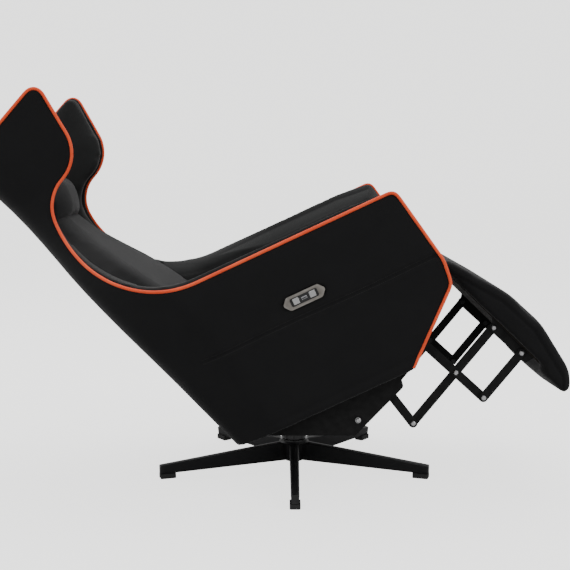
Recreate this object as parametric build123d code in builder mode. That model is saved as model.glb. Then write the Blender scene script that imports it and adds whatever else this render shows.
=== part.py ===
"""Reclining gaming chair on a five-star swivel base, with a powered folding footrest.

Millimetres, +Z up, the chair faces +X and the sitter's left is +Y. The origin is on the floor under
the middle of the reclined chair. The chair stands reclined with its footrest out. Everything that tilts
is drawn in the seat's own directions, level as in the upright chair, on planes turned by recline_angle
about the tilt pivot.
"""

import os
from math import atan2, cos, degrees, hypot, radians, sin, tan

from build123d import *

os.makedirs("parts", exist_ok=True)

# ---------------------------------------------------------------- driving dimensions
swivel_x = 73.0  # swivel axis ahead of the origin
recline_angle = 25.0  # seat tilt from upright to fully reclined
fold_angle = 70.0  # turn of the footrest carrier from open to folded
tilt_x, tilt_z = 147.0, 184.0  # tilt pivot, ahead of the swivel axis and above the floor

slip = 0.05  # radial running clearance of a pivot
play = 0.2  # gap between neighbouring bars and heads that turn on each other
seam = 0.3  # gap between soft pieces that move apart or are made separately

# five-star base
leg_count = 5
base_radius = 350.0
first_leg_angle = -90.0
hub_height, hub_bottom = 72.0, 18.0
hub_top_radius, hub_foot_radius = 38.0, 27.0
leg_root_height, leg_tip_height = 50.0, 22.0
leg_root_width, leg_tip_width = 25.0, 20.0
leg_root_bottom, glide_height = 21.0, 12.0
leg_crown = 3.0  # drop of the leg's top edges beside its ridge
leg_tip_chamfer = 1.2
glide_length, glide_width = 39.0, 25.0

# swivel column
post_radius, post_top = 25.0, 140.0
washer_thickness, washer_radius = 3.0, 35.0
sleeve_radius = 30.0

# chassis
plate_bottom = 146.5  # underside of the chassis above the floor
mount_plate_thickness = 6.0
mount_plate_length, mount_plate_width = 130.0, 230.0
beam_size, beam_wall = 25.0, 2.5
rear_beam_x, front_beam_x = -48.0, 20.0  # beams behind and ahead of the swivel axis
chassis_plate_inner = 249.0  # half distance between the chassis side plates
plate_rear_x, plate_foot_x = -78.0, 141.0  # ends of the side plates' level underside
plate_nose_x, plate_nose_z = 252.0, 262.0  # front corner of the side plates
steel = 5.0  # side plates, rails and brackets
tilt_pin_radius, tilt_head, tilt_washer = 5.0, 6.5, 12.0  # radius of the pin, its head and its washer

# seat frame, in seat directions
rail_inner = 241.0  # half distance between the seat rails
rail_top = 368.0
rail_pivot_z = 344.5  # height of the two link pivots on the rail
rail_rear_x, rail_front_x = -112.0, 396.0
tube_radius, tube_wall = 11.0, 2.0
rear_tube_x, middle_tube_x, front_tube_x = -86.0, 262.0, 376.0
strap_thickness, strap_width, strap_count = 2.0, 44.0, 6

# footrest linkage, open position, in seat directions
link_width, link_thickness, link_pitch = 21.0, 4.0, 5.0
link_outer = 233.0  # outer face of the outermost bar layer
knee_x, knee_z = 400.0, 183.5  # pivot where the carrier crosses the long bar
bar_angle, carrier_angle = 26.0, 112.7
bar_lower, bar_upper = 156.0, 137.0  # knee to the lower and to the upper pivot
carrier_upper, carrier_lower = 175.0, 87.7
stay_x = 206.9  # stud on the rail that the lower stay slides on
stay_play = 0.45  # side play of that stud in its slot
stay_travel = 9.4  # how far the stud runs along its slot
rivet_radius, rivet_head, rivet_head_height = 4.0, 6.8, 2.8
carrier_pin_radius, torque_tube_radius = 6.0, 12.5

# footrest
board_angle = -69.0  # slope of the footrest board, open, in seat directions
board_drop = 14.0  # board underside above its pivots
board_thickness = 12.0
board_start, board_end = -150.0, 140.0  # board ends along its slope from the upper pivot
board_half_width = 240.0
flange_width, flange_thickness = 12.0, 3.0  # bent edge of the brackets under the board
footrest_half_width = 259.0
pad_edge = 3.5  # chamfer of the padding's sides

# shell, in seat directions
front_x = 472.0  # foremost point of the arms
panel_bottom, arm_height = 250.0, 639.0
front_cut_x = 310.0  # where the sloping front edge starts on the bottom edge
front_low_z, front_high_z = 396.0, 452.0
arm_corner_x = 435.0
neck_x, neck_z = -295.0, 892.0  # hollow of the front edge below the wing
wing_front_x, wing_top_x, wing_top_z = -180.0, -191.0, 1200.0
wing_base_z = 1062.0
wing_slope = 23.3  # fall of the wing's top edge towards the back
back_foot_x, back_rake = -130.0, 20.2  # rear face of the back and its lean
panel_thickness = 12.0
arm_crown = 16.0  # arm padding above the piped edge
pad_inset = 1.0  # padding behind the piped edge elsewhere
crown_width, crown_depth = 46.0, 60.0  # slope from the arms' crown to their inner face
crown_start = -58.0  # where that slope grows out of the wing's hollow
piping_width, piping_rise = 7.5, 3.5
piping_proud = 1.75  # piping outside the panels' face
piping_start = 6.0  # lower end of the piping above the bottom edge
shell_width = 380.0  # half width of the blocks that the shell is cut from

# cushions
seat_cushion_top, seat_cushion_rear, seat_cushion_front = 482.0, -92.0, 437.0
pillow_half_width, pillow_low, pillow_high, pillow_front_x = 128.0, 890.0, 1004.0, -259.0
pillow_lean = 22.0  # how far the pillow's foot stays behind its front
pillow_corner, pillow_chamfer = 20.0, 9.0

# switch panel on the right side panel
switch_x, switch_z = 158.0, 508.5
switch_face = 343.0  # outer face of the bezel from the middle of the chair
bezel_length, bezel_height, bezel_depth, bezel_flange = 103.0, 31.0, 20.0, 7.0
recess_length, recess_height, recess_depth = 66.0, 18.5, 3.0
button_size, button_pitch, button_travel = 14.5, 40.0, 1.5
button_rise, button_depth, button_gap = 2.0, 9.0, 0.4
port_length, port_height = 13.0, 6.0

# actuator between the chassis and the seat's middle tube
motor_pin_x, motor_pin_z = -55.0, 198.0
rod_pin_x, rod_pin_z = 250.0, 318.0
rod_radius, sheath_radius, motor_radius = 9.0, 17.0, 24.0
actuator_pin_radius = 5.0
rod_pin_play, rod_eye_gap = 2.2, 0.5  # free travel of the pin along the rod's eye and gap beside it
rod_eye_width = 20.0
ear_gap, ear_thickness, clevis_wall = 13.0, 5.0, 3.4

# wooden blocks between the rails and the side panels
block_length, block_height = 50.0, 34.0
block_rear_x, block_front_x = -66.0, 286.0


# ---------------------------------------------------------------- places and helpers
tilt = radians(recline_angle)


def seat_point(x, y, z):
    """Model place of a point given in seat directions."""
    along, up = x - tilt_x, z - tilt_z
    return (
        swivel_x + tilt_x + along * cos(tilt) - up * sin(tilt),
        y,
        tilt_z + along * sin(tilt) + up * cos(tilt),
    )


def seat_side(y):
    """Side-view plane in seat directions; its normal points to the sitter's right."""
    return Plane(origin=seat_point(0, y, 0), x_dir=(cos(tilt), 0, sin(tilt)), z_dir=(0, -1, 0))


def seat_level(z):
    """Plan-view plane at one height above the floor of the upright seat."""
    return Plane(origin=seat_point(0, 0, z), x_dir=(cos(tilt), 0, sin(tilt)), z_dir=(-sin(tilt), 0, cos(tilt)))


def seat_cross(x):
    """Upright plane across the seat at one distance along it; its axes are left and up."""
    return Plane(origin=seat_point(x, 0, 0), x_dir=(0, 1, 0), z_dir=(cos(tilt), 0, sin(tilt)))


def chassis_side(y):
    """Side-view plane through the swivel axis that doesn't tilt with the seat."""
    return Plane(origin=(swivel_x, y, 0), x_dir=(1, 0, 0), z_dir=(0, -1, 0))


def step(start, distance, angle):
    """Point at a distance and angle from another, in a side view."""
    return (start[0] + distance * cos(radians(angle)), start[1] + distance * sin(radians(angle)))


def save(piece, name):
    piece.part.label = name
    export_step(piece.part, f"parts/{name}.step")


sides = {"right": -1, "left": 1}

# link pivots, open position
knee = (knee_x, knee_z)
carrier_pivot = step(knee, carrier_upper, carrier_angle)
lower_pivot = step(knee, -bar_lower, bar_angle)
upper_pivot = step(knee, bar_upper, bar_angle)
outer_knee = step(knee, -carrier_lower, carrier_angle)
outer_pivot = step(upper_pivot, -carrier_lower, carrier_angle)
stay_pivot = (stay_x, rail_pivot_z)
stay_length = hypot(stay_pivot[0] - lower_pivot[0], stay_pivot[1] - lower_pivot[1])
stay_angle = degrees(atan2(stay_pivot[1] - lower_pivot[1], stay_pivot[0] - lower_pivot[0]))
tilt_pivot = (tilt_x, tilt_z)

# outer faces of the bar layers, from the outside in
layer = [link_outer - index * link_pitch for index in range(3)]


# ---------------------------------------------------------------- five-star base
with BuildPart() as base_hub:
    with BuildSketch(Plane(origin=(swivel_x, 0, 0), x_dir=(1, 0, 0), z_dir=(0, -1, 0))):
        with BuildLine():
            Polyline(
                (0, hub_bottom),
                (hub_foot_radius - 4, hub_bottom),
                (hub_foot_radius, hub_bottom + 5),
                (hub_top_radius - 2, hub_height - 8),
                (hub_top_radius, hub_height - 5),
                (hub_top_radius - 3, hub_height),
                (0, hub_height),
                close=True,
            )
        make_face()
    revolve(axis=Axis((swivel_x, 0, 0), (0, 0, 1)))
    post_socket_depth = hub_height - hub_bottom - 8
    with BuildSketch(Plane.XY.offset(hub_height)):
        with Locations((swivel_x, 0)):
            Circle(post_radius)
    extrude(amount=-post_socket_depth, mode=Mode.SUBTRACT)
save(base_hub, "base_hub")

legs = []
for number in range(leg_count):
    leg_angle = radians(first_leg_angle + number * 360 / leg_count)
    reach = (cos(leg_angle), sin(leg_angle), 0)
    with BuildPart() as leg:
        tip_bottom = glide_height
        for distance, width, bottom, height in (
            (0.0, leg_root_width, leg_root_bottom, leg_root_height),
            (base_radius, leg_tip_width, tip_bottom, leg_tip_height),
        ):
            section = Plane(
                origin=(swivel_x + distance * reach[0], distance * reach[1], bottom),
                x_dir=(-reach[1], reach[0], 0),
                z_dir=reach,
            )
            with BuildSketch(section):
                with BuildLine():
                    Polyline(
                        (-width / 2 + 2, 0),
                        (width / 2 - 2, 0),
                        (width / 2, height - leg_crown),
                        (width / 2 - 3, height - 1),
                        (0, height),
                        (-width / 2 + 3, height - 1),
                        (-width / 2, height - leg_crown),
                        close=True,
                    )
                make_face()
        loft(ruled=True)
        tip_edges = leg.faces().sort_by(Axis(leg.part.center(), reach))[-1].edges()
        chamfer(tip_edges, leg_tip_chamfer)
        with BuildSketch(Plane.XY.offset(leg_root_bottom - 10)):
            with Locations((swivel_x, 0)):
                Circle(post_radius)
        extrude(amount=leg_root_height + 20, mode=Mode.SUBTRACT)
        add(base_hub.part, mode=Mode.SUBTRACT)
    save(leg, f"base_leg_{number + 1}")
    legs.append(leg.part)

with BuildPart() as glides:
    with Locations((swivel_x, 0, 0)):
        with PolarLocations(base_radius - glide_length / 2, leg_count, start_angle=first_leg_angle):
            Box(glide_length, glide_width, glide_height, align=(Align.CENTER, Align.CENTER, Align.MIN))
    fillet(glides.edges().filter_by(Axis.Z), 4)
    chamfer(glides.faces().group_by(Axis.Z)[0].edges(), 1)
    add(legs, mode=Mode.SUBTRACT)
save(glides, "base_glides")

with BuildPart() as swivel_column:
    with BuildSketch(Plane.XY.offset(hub_height - post_socket_depth)):
        with Locations((swivel_x, 0)):
            Circle(post_radius)
    extrude(amount=post_top - hub_height + post_socket_depth)
    chamfer(swivel_column.faces().sort_by(Axis.Z)[-1].edges(), 2)
    with BuildSketch(Plane.XY.offset(hub_height)):
        with Locations((swivel_x, 0)):
            Circle(washer_radius)
    extrude(amount=washer_thickness)
save(swivel_column, "swivel_column")

# ---------------------------------------------------------------- chassis
with BuildPart() as swivel_sleeve:
    sleeve_bottom = hub_height + washer_thickness + play
    with BuildSketch(Plane.XY.offset(sleeve_bottom)):
        with Locations((swivel_x, 0)):
            Circle(sleeve_radius)
    extrude(amount=plate_bottom - sleeve_bottom)
    with BuildSketch(Plane.XY.offset(sleeve_bottom)):
        with Locations((swivel_x, 0)):
            Circle(post_radius + slip)
    extrude(amount=post_top + 1 - sleeve_bottom, mode=Mode.SUBTRACT)
    chamfer(swivel_sleeve.faces().sort_by(Axis.Z)[0].outer_wire().edges(), 1.5)
save(swivel_sleeve, "swivel_sleeve")

beam_bottom = plate_bottom + mount_plate_thickness
beams_middle_x = swivel_x + (rear_beam_x + front_beam_x) / 2
with BuildPart() as mount_plate:
    with BuildSketch(Plane.XY.offset(plate_bottom)):
        with Locations((beams_middle_x, 0)):
            RectangleRounded(mount_plate_length, mount_plate_width, 12)
            with GridLocations(mount_plate_length - 24, mount_plate_width - 24, 2, 2):
                Circle(5, mode=Mode.SUBTRACT)
    extrude(amount=mount_plate_thickness)
save(mount_plate, "mount_plate")

for name, beam_x in (("rear", rear_beam_x), ("front", front_beam_x)):
    with BuildPart() as beam:
        with BuildSketch(chassis_side(chassis_plate_inner)):
            with Locations((beam_x, beam_bottom + beam_size / 2)):
                RectangleRounded(beam_size, beam_size, 3)
                RectangleRounded(beam_size - 2 * beam_wall, beam_size - 2 * beam_wall, 1.5, mode=Mode.SUBTRACT)
        extrude(amount=2 * chassis_plate_inner)
    save(beam, f"chassis_beam_{name}")

for side, sign in sides.items():
    with BuildPart() as chassis_plate:
        with BuildSketch(chassis_side(sign * chassis_plate_inner)):
            with BuildLine():
                FilletPolyline(
                    (plate_rear_x, plate_bottom),
                    (plate_foot_x, plate_bottom),
                    (plate_nose_x, plate_nose_z),
                    (plate_nose_x - 8, plate_nose_z + 30),
                    (tilt_x - 43, tilt_z + 76),
                    (0, tilt_z + 30),
                    (plate_rear_x, tilt_z + 6),
                    radius=[6, 9, 10, 12, 40, 40, 14],
                    close=True,
                )
            make_face()
            with Locations(tilt_pivot):
                Circle(tilt_pin_radius, mode=Mode.SUBTRACT)
        extrude(amount=-sign * steel)
    save(chassis_plate, f"chassis_plate_{side}")

with BuildPart() as tilt_bolts:
    for sign in sides.values():
        with BuildSketch(chassis_side(sign * (rail_inner - play))):
            with Locations(tilt_pivot):
                Circle(tilt_pin_radius)
        extrude(amount=-sign * (chassis_plate_inner + steel - rail_inner + play))
        with BuildSketch(chassis_side(sign * (chassis_plate_inner + steel))):
            with Locations(tilt_pivot):
                Circle(tilt_head)
        extrude(amount=-sign * 5)
        with BuildSketch(chassis_side(sign * (rail_inner + steel + play))):
            with Locations(tilt_pivot):
                Circle(tilt_washer)
                Circle(tilt_pin_radius, mode=Mode.SUBTRACT)
        extrude(amount=-sign * (chassis_plate_inner - rail_inner - steel - play))
save(tilt_bolts, "tilt_bolts")

with BuildPart() as motor_clevis:
    ear_foot = beam_bottom + beam_size
    for sign in (-1, 1):
        with BuildSketch(chassis_side(sign * ear_gap)):
            with BuildLine():
                FilletPolyline(
                    (rear_beam_x - beam_size / 2, ear_foot),
                    (rear_beam_x + beam_size / 2, ear_foot),
                    (motor_pin_x + 11, motor_pin_z + 11),
                    (motor_pin_x - 11, motor_pin_z + 11),
                    radius=[0, 0, 9, 9],
                    close=True,
                )
            make_face()
        extrude(amount=-sign * ear_thickness)
    with BuildSketch(chassis_side(ear_gap + ear_thickness + 2)):
        with Locations((motor_pin_x, motor_pin_z)):
            Circle(actuator_pin_radius)
    extrude(amount=2 * (ear_gap + ear_thickness + 2))
save(motor_clevis, "motor_clevis")

# ---------------------------------------------------------------- actuator
motor_pin = (swivel_x + motor_pin_x, motor_pin_z)
rod_pin_x_model, _, rod_pin_z_model = seat_point(rod_pin_x, 0, rod_pin_z)
rod_pin = (rod_pin_x_model, rod_pin_z_model)
actuator_length = hypot(rod_pin[0] - motor_pin[0], rod_pin[1] - motor_pin[1])
actuator_angle = atan2(rod_pin[1] - motor_pin[1], rod_pin[0] - motor_pin[0])
actuator_dir = (cos(actuator_angle), 0, sin(actuator_angle))


def actuator_plane(distance):
    """Plane square to the actuator, at a distance from its motor pin."""
    origin = (motor_pin[0] + distance * actuator_dir[0], 0, motor_pin[1] + distance * actuator_dir[2])
    return Plane(origin=origin, x_dir=(0, 1, 0), z_dir=actuator_dir)


actuator_side = Plane(origin=(motor_pin[0], 0, motor_pin[1]), x_dir=actuator_dir, z_dir=(0, -1, 0))
gearbox_start, gearbox_end, sheath_end = 14.0, 78.0, 222.0
with BuildPart() as actuator_motor:
    with BuildSketch(actuator_plane(gearbox_start)):
        RectangleRounded(52, 44, 7)
    extrude(amount=gearbox_end - gearbox_start)
    chamfer(actuator_motor.faces().sort_by(Axis(motor_pin + (0,), actuator_dir))[-1].edges(), 3)
    with BuildSketch(actuator_plane(gearbox_end)):
        Circle(sheath_radius)
    extrude(amount=sheath_end - gearbox_end)
    with BuildSketch(actuator_side.offset(ear_gap - 1)):
        with BuildLine():
            Polyline((0, 10), (gearbox_start + 1, 16), (gearbox_start + 1, -16), (0, -10))
            ThreePointArc((0, -10), (-10, 0), (0, 10))
        make_face()
    extrude(amount=-2 * (ear_gap - 1))
    with BuildSketch(actuator_side.offset(ear_gap)):
        Circle(actuator_pin_radius + slip)
    extrude(amount=-2 * ear_gap, mode=Mode.SUBTRACT)
    with BuildSketch(actuator_plane(gearbox_start + 8)):
        Circle(rod_radius + slip)
    extrude(amount=sheath_end, mode=Mode.SUBTRACT)
save(actuator_motor, "actuator_motor")

motor_can_length = 92.0
can_distance = (gearbox_start + gearbox_end) / 2
with BuildPart() as actuator_can:
    with BuildSketch(actuator_side.offset(-26)):
        with Locations((can_distance, 0)):
            Circle(motor_radius - 3)
    extrude(amount=-motor_can_length)
    chamfer(actuator_can.faces().sort_by(Axis.Y)[-1].edges(), 3)
save(actuator_can, "actuator_can")

rod_start = gearbox_start + 12
with BuildPart() as actuator_rod:
    with BuildSketch(actuator_plane(rod_start)):
        Circle(rod_radius)
    extrude(amount=actuator_length - rod_start - 12)
    with BuildSketch(actuator_side.offset(ear_gap - 1)):
        with Locations((actuator_length + rod_pin_play / 2, 0)):
            SlotCenterToCenter(rod_pin_play, rod_eye_width)
        with Locations((actuator_length - 12, 0)):
            Rectangle(16, 16)
    extrude(amount=-2 * (ear_gap - 1))
    with BuildSketch(actuator_side.offset(ear_gap)):
        with Locations((actuator_length + rod_pin_play / 2, 0)):
            SlotCenterToCenter(rod_pin_play, 2 * (actuator_pin_radius + rod_eye_gap))
    extrude(amount=-2 * ear_gap, mode=Mode.SUBTRACT)
save(actuator_rod, "actuator_rod")

# ---------------------------------------------------------------- seat frame
for side, sign in sides.items():
    with BuildPart() as rail:
        with BuildSketch(seat_side(sign * rail_inner)):
            with BuildLine():
                FilletPolyline(
                    (rail_rear_x, rail_top),
                    (rail_rear_x, rail_pivot_z - 12),
                    (96, rail_pivot_z - 14),
                    (tilt_x - 19, tilt_z + 12),
                    (tilt_x - 17, tilt_z - 17),
                    (tilt_x + 17, tilt_z - 17),
                    (tilt_x + 19, tilt_z + 12),
                    (206, rail_pivot_z - 22),
                    (346, rail_pivot_z - 22),
                    (rail_front_x, rail_pivot_z + 6),
                    (rail_front_x, rail_top),
                    radius=[4, 8, 20, 20, 16, 16, 20, 20, 8, 4, 4],
                    close=True,
                )
            make_face()
            with Locations(tilt_pivot):
                Circle(tilt_pin_radius + slip, mode=Mode.SUBTRACT)
            with Locations(carrier_pivot):
                Circle(carrier_pin_radius + slip, mode=Mode.SUBTRACT)
            with Locations(stay_pivot):
                Circle(5, mode=Mode.SUBTRACT)
        extrude(amount=-sign * steel)
    save(rail, f"seat_rail_{side}")

with BuildPart() as stay_studs:
    for sign in sides.values():
        stud_end = layer[1] - link_thickness - play
        with BuildSketch(seat_side(sign * stud_end)):
            with Locations(stay_pivot):
                Circle(5)
        extrude(amount=-sign * (rail_inner + steel - stud_end))
        with BuildSketch(seat_side(sign * stud_end)):
            with Locations(stay_pivot):
                Circle(9)
        extrude(amount=sign * 2.5)
save(stay_studs, "stay_studs")

tube_z = rail_top - tube_radius - 4
for name, tube_x in (("rear", rear_tube_x), ("middle", middle_tube_x), ("front", front_tube_x)):
    with BuildPart() as tube:
        with BuildSketch(seat_side(rail_inner)):
            with Locations((tube_x, tube_z)):
                Circle(tube_radius)
                Circle(tube_radius - tube_wall, mode=Mode.SUBTRACT)
        extrude(amount=2 * rail_inner)
    save(tube, f"seat_tube_{name}")

with BuildPart() as rod_clevis:
    for sign in (-1, 1):
        with BuildSketch(seat_side(sign * ear_gap)):
            with Locations((middle_tube_x, tube_z)):
                Circle(tube_radius + clevis_wall)
            with BuildLine():
                Polyline(
                    (middle_tube_x - 13, tube_z - 3),
                    (middle_tube_x + 13, tube_z - 6),
                    (rod_pin_x + 10, rod_pin_z - 3),
                    (rod_pin_x, rod_pin_z - 11),
                    (rod_pin_x - 10, rod_pin_z - 3),
                    close=True,
                )
            make_face()
            with Locations((middle_tube_x, tube_z)):
                Circle(tube_radius, mode=Mode.SUBTRACT)
        extrude(amount=-sign * ear_thickness)
    with BuildSketch(seat_side(ear_gap + ear_thickness + 2)):
        with Locations((rod_pin_x, rod_pin_z)):
            Circle(actuator_pin_radius)
    extrude(amount=2 * (ear_gap + ear_thickness + 2))
save(rod_clevis, "rod_clevis")

with BuildPart() as seat_straps:
    strap_pitch = (rail_front_x - rail_rear_x - strap_width - 12) / (strap_count - 1)
    with BuildSketch(seat_level(rail_top)):
        with Locations(((rail_front_x + rail_rear_x) / 2, 0)):
            with GridLocations(strap_pitch, 1, strap_count, 1):
                Rectangle(strap_width, 2 * (rail_inner + steel))
    extrude(amount=strap_thickness)
save(seat_straps, "seat_straps")

# ---------------------------------------------------------------- footrest linkage


def bar(start, end, outer_face, sign, holes):
    """Flat bar with round ends between two pivots, with a hole for each listed pivot."""
    length = hypot(end[0] - start[0], end[1] - start[1])
    turn = degrees(atan2(end[1] - start[1], end[0] - start[0]))
    middle = ((start[0] + end[0]) / 2, (start[1] + end[1]) / 2)
    with BuildPart() as flat:
        with BuildSketch(seat_side(sign * outer_face)):
            with Locations(middle):
                SlotCenterToCenter(length, link_width, rotation=turn)
            for place, radius in holes:
                with Locations(place):
                    Circle(radius, mode=Mode.SUBTRACT)
        extrude(amount=sign * link_thickness)
        chamfer(flat.faces().filter_by(Axis.Y).edges().filter_by(GeomType.LINE), 0.6)
    return flat


def rivets(places_and_faces):
    """Rivets through two bars: each entry gives side, pivot, inner face, outer face and turning gaps."""
    with BuildPart() as group:
        for sign, place, inner_face, outer_face, inner_gap, outer_gap in places_and_faces:
            low, high = inner_face - inner_gap, outer_face + outer_gap
            with BuildSketch(seat_side(sign * low)):
                with Locations(place):
                    Circle(rivet_radius)
            extrude(amount=-sign * (high - low))
            with BuildSketch(seat_side(sign * low)):
                with Locations(place):
                    Circle(rivet_head)
            extrude(amount=sign * rivet_head_height, taper=20)
            with BuildSketch(seat_side(sign * high)):
                with Locations(place):
                    Circle(rivet_head)
            extrude(amount=-sign * rivet_head_height, taper=20)
    return group


running = rivet_radius + slip
for side, sign in sides.items():
    carrier_holes = [(carrier_pivot, carrier_pin_radius), (knee, rivet_radius), (outer_knee, rivet_radius)]
    save(bar(carrier_pivot, outer_knee, layer[1], sign, carrier_holes), f"carrier_{side}")
    bar_holes = [(lower_pivot, rivet_radius), (knee, running), (upper_pivot, running)]
    save(bar(lower_pivot, upper_pivot, layer[2], sign, bar_holes), f"long_bar_{side}")
    short_holes = [(outer_knee, running), (outer_pivot, running)]
    save(bar(outer_knee, outer_pivot, layer[0], sign, short_holes), f"short_bar_{side}")

    with BuildPart() as stay:
        slot_end = step(lower_pivot, stay_length + stay_travel, stay_angle)
        slot_middle = step(lower_pivot, stay_length + stay_travel / 2, stay_angle)
        bar_middle = step(lower_pivot, (stay_length + stay_travel) / 2, stay_angle)
        with BuildSketch(seat_side(sign * layer[1])):
            with Locations(bar_middle):
                SlotCenterToCenter(stay_length + stay_travel, link_width, rotation=stay_angle)
            with Locations(slot_middle):
                slot_width = 2 * (5 + stay_play)
                SlotCenterToCenter(stay_travel, slot_width, rotation=stay_angle, mode=Mode.SUBTRACT)
            with Locations(lower_pivot):
                Circle(running, mode=Mode.SUBTRACT)
        extrude(amount=sign * link_thickness)
    save(stay, f"stay_{side}")

    bar_inner = layer[2] - link_thickness
    lower_rivet = [(sign, lower_pivot, bar_inner, layer[1], 0, play)]
    save(rivets(lower_rivet), f"lower_rivet_{side}")

carrier_inner = layer[1] - link_thickness
knee_rivets = [(sign, knee, layer[2] - link_thickness, layer[1], play, 0) for sign in sides.values()]
outer_knee_rivets = [(sign, outer_knee, carrier_inner, layer[0], 0, play) for sign in sides.values()]
save(rivets(knee_rivets + outer_knee_rivets), "carrier_rivets")
upper_rivets = [(sign, upper_pivot, layer[2] - link_thickness, layer[1], play, 0) for sign in sides.values()]
outer_rivets = [(sign, outer_pivot, carrier_inner, layer[0], 0, play) for sign in sides.values()]
save(rivets(upper_rivets + outer_rivets), "footrest_rivets")

with BuildPart() as torque_tube:
    with BuildSketch(seat_side(carrier_inner)):
        with Locations(carrier_pivot):
            Circle(torque_tube_radius)
            Circle(torque_tube_radius - 2.5, mode=Mode.SUBTRACT)
    extrude(amount=2 * carrier_inner)
    for sign in sides.values():
        with BuildSketch(seat_side(sign * (carrier_inner - 12))):
            with Locations(carrier_pivot):
                Circle(torque_tube_radius - 2.5)
        extrude(amount=-sign * 12)
        with BuildSketch(seat_side(sign * carrier_inner)):
            with Locations(carrier_pivot):
                Circle(carrier_pin_radius)
        extrude(amount=-sign * (rail_inner + steel + 1 - carrier_inner))
        with BuildSketch(seat_side(sign * layer[1])):
            with Locations(carrier_pivot):
                Circle(carrier_pin_radius + 4)
                Circle(carrier_pin_radius, mode=Mode.SUBTRACT)
        extrude(amount=-sign * (rail_inner - play - layer[1]))
save(torque_tube, "torque_tube")

# ---------------------------------------------------------------- footrest


def board_point(along, above):
    """Point beside the footrest board's slope, measured from the upper pivot."""
    return step(step(upper_pivot, along, board_angle), above, board_angle + 90)


with BuildPart() as footrest_board:
    board_middle = board_point((board_start + board_end) / 2, board_drop + board_thickness / 2)
    with BuildSketch(seat_side(board_half_width)):
        with Locations(board_middle):
            Rectangle(board_end - board_start, board_thickness, rotation=board_angle)
    extrude(amount=2 * board_half_width)
save(footrest_board, "footrest_board")

for side, sign in sides.items():
    with BuildPart() as bracket:
        with BuildSketch(seat_side(sign * layer[1])):
            with Locations(upper_pivot, outer_pivot):
                Circle(link_width / 2)
            with BuildLine():
                Polyline(
                    step(upper_pivot, link_width / 2, carrier_angle + 90),
                    step(outer_pivot, link_width / 2, carrier_angle + 90),
                    board_point(112, -8),
                    board_point(118, board_drop),
                    board_point(-16, board_drop),
                    close=True,
                )
            make_face()
            with Locations(upper_pivot, outer_pivot):
                Circle(rivet_radius, mode=Mode.SUBTRACT)
        extrude(amount=sign * link_thickness)
        with BuildSketch(seat_side(sign * layer[1])):
            with Locations(board_point(50, board_drop - flange_thickness / 2)):
                Rectangle(130, flange_thickness, rotation=board_angle)
        extrude(amount=sign * (link_thickness + flange_width))
    save(bracket, f"footrest_bracket_{side}")

# side view of the padding, along the board and above it
pad_profile = [
    (-196, 9),
    (-158, 10),
    (board_start, board_drop),
    (board_end + 2, board_drop),
    (158, -1),
    (222, -3),
    (229, 20),
    (190, 50),
    (68, 80),
    (-34, 77),
    (-196, 34),
]
pad_rounding = [4, 4, 0, 0, 8, 8, 18, 60, 150, 150, 10]
with BuildPart() as footrest_cushion:
    with BuildSketch(seat_side(footrest_half_width)):
        with BuildLine():
            FilletPolyline(*[board_point(*place) for place in pad_profile], radius=pad_rounding, close=True)
        make_face()
    extrude(amount=2 * footrest_half_width)
    pad_sides = footrest_cushion.faces().filter_by(Axis.Y)
    chamfer(pad_sides.edges(), pad_edge)
    add(footrest_board.part, mode=Mode.SUBTRACT)
save(footrest_cushion, "footrest_cushion")

# ---------------------------------------------------------------- shell forms
shell_reach = 500.0  # how far forward the plan sections run before they are trimmed
hip_radius = 110.0

# height, half width at the sides, half width at the back, hip ahead of the rear face, padded wall
# and rear corner radius
shell_stations = [
    (230.0, 318.0, 296.0, 100.0, 58.0, 34.0),
    (430.0, 333.0, 282.0, 140.0, 64.0, 58.0),
    (620.0, 346.0, 278.0, 165.0, 72.0, 62.0),
    (735.0, 322.0, 256.0, 130.0, 68.0, 62.0),
    (850.0, 240.0, 208.0, 85.0, 56.0, 62.0),
    (950.0, 209.0, 186.0, 85.0, 50.0, 62.0),
    (1060.0, 223.0, 190.0, 88.0, 48.0, 62.0),
    (1215.0, 233.0, 195.0, 100.0, 48.0, 62.0),
]
section_heights = [230, 430, 600, 660, 715, 765, 815, 865, 915, 965, 1030, 1100, 1215]


def shell_at(height):
    """Sizes of the shell at one height, on a smooth curve through the stations."""
    last = len(shell_stations) - 1
    index = max(i for i in range(last) if shell_stations[i][0] <= height)
    low, high = shell_stations[index], shell_stations[index + 1]
    before, after = shell_stations[max(index - 1, 0)], shell_stations[min(index + 2, last)]
    gap = high[0] - low[0]
    t = (height - low[0]) / gap
    sizes = []
    for column in range(1, 6):
        slope_low = (high[column] - before[column]) / (high[0] - before[0]) * gap
        slope_high = (after[column] - low[column]) / (after[0] - low[0]) * gap
        rise = high[column] - low[column]
        curve = (slope_low + slope_high - 2 * rise) * t**3 + (3 * rise - 2 * slope_low - slope_high) * t**2
        sizes.append(low[column] + slope_low * t + curve)
    return sizes


def rear_face_x(height):
    """Rear face of the back at one height."""
    return back_foot_x - (height - panel_bottom) * tan(radians(back_rake))


def shell_form(side_inset, rear_inset, padded=False):
    """Solid inside the shell's outer surface, moved in from its sides and from its back."""
    with BuildPart() as form:
        for height in section_heights:
            side_half, rear_half, hip, wall, rear_corner = shell_at(height)
            inset = wall + side_inset if padded else side_inset
            rear_x = rear_face_x(height) + rear_inset
            hip_x = rear_face_x(height) + hip + inset * 0.1
            corner = max(rear_corner - inset * 0.6, 12)
            with BuildSketch(seat_level(height)):
                with BuildLine():
                    FilletPolyline(
                        (shell_reach, inset - side_half),
                        (hip_x, inset - side_half),
                        (rear_x, inset - rear_half),
                        (rear_x, rear_half - inset),
                        (hip_x, side_half - inset),
                        (shell_reach, side_half - inset),
                        radius=[hip_radius, corner, corner, hip_radius],
                    )
                    Line((shell_reach, side_half - inset), (shell_reach, inset - side_half))
                make_face()
        loft(ruled=True)
    return form.part


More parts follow.
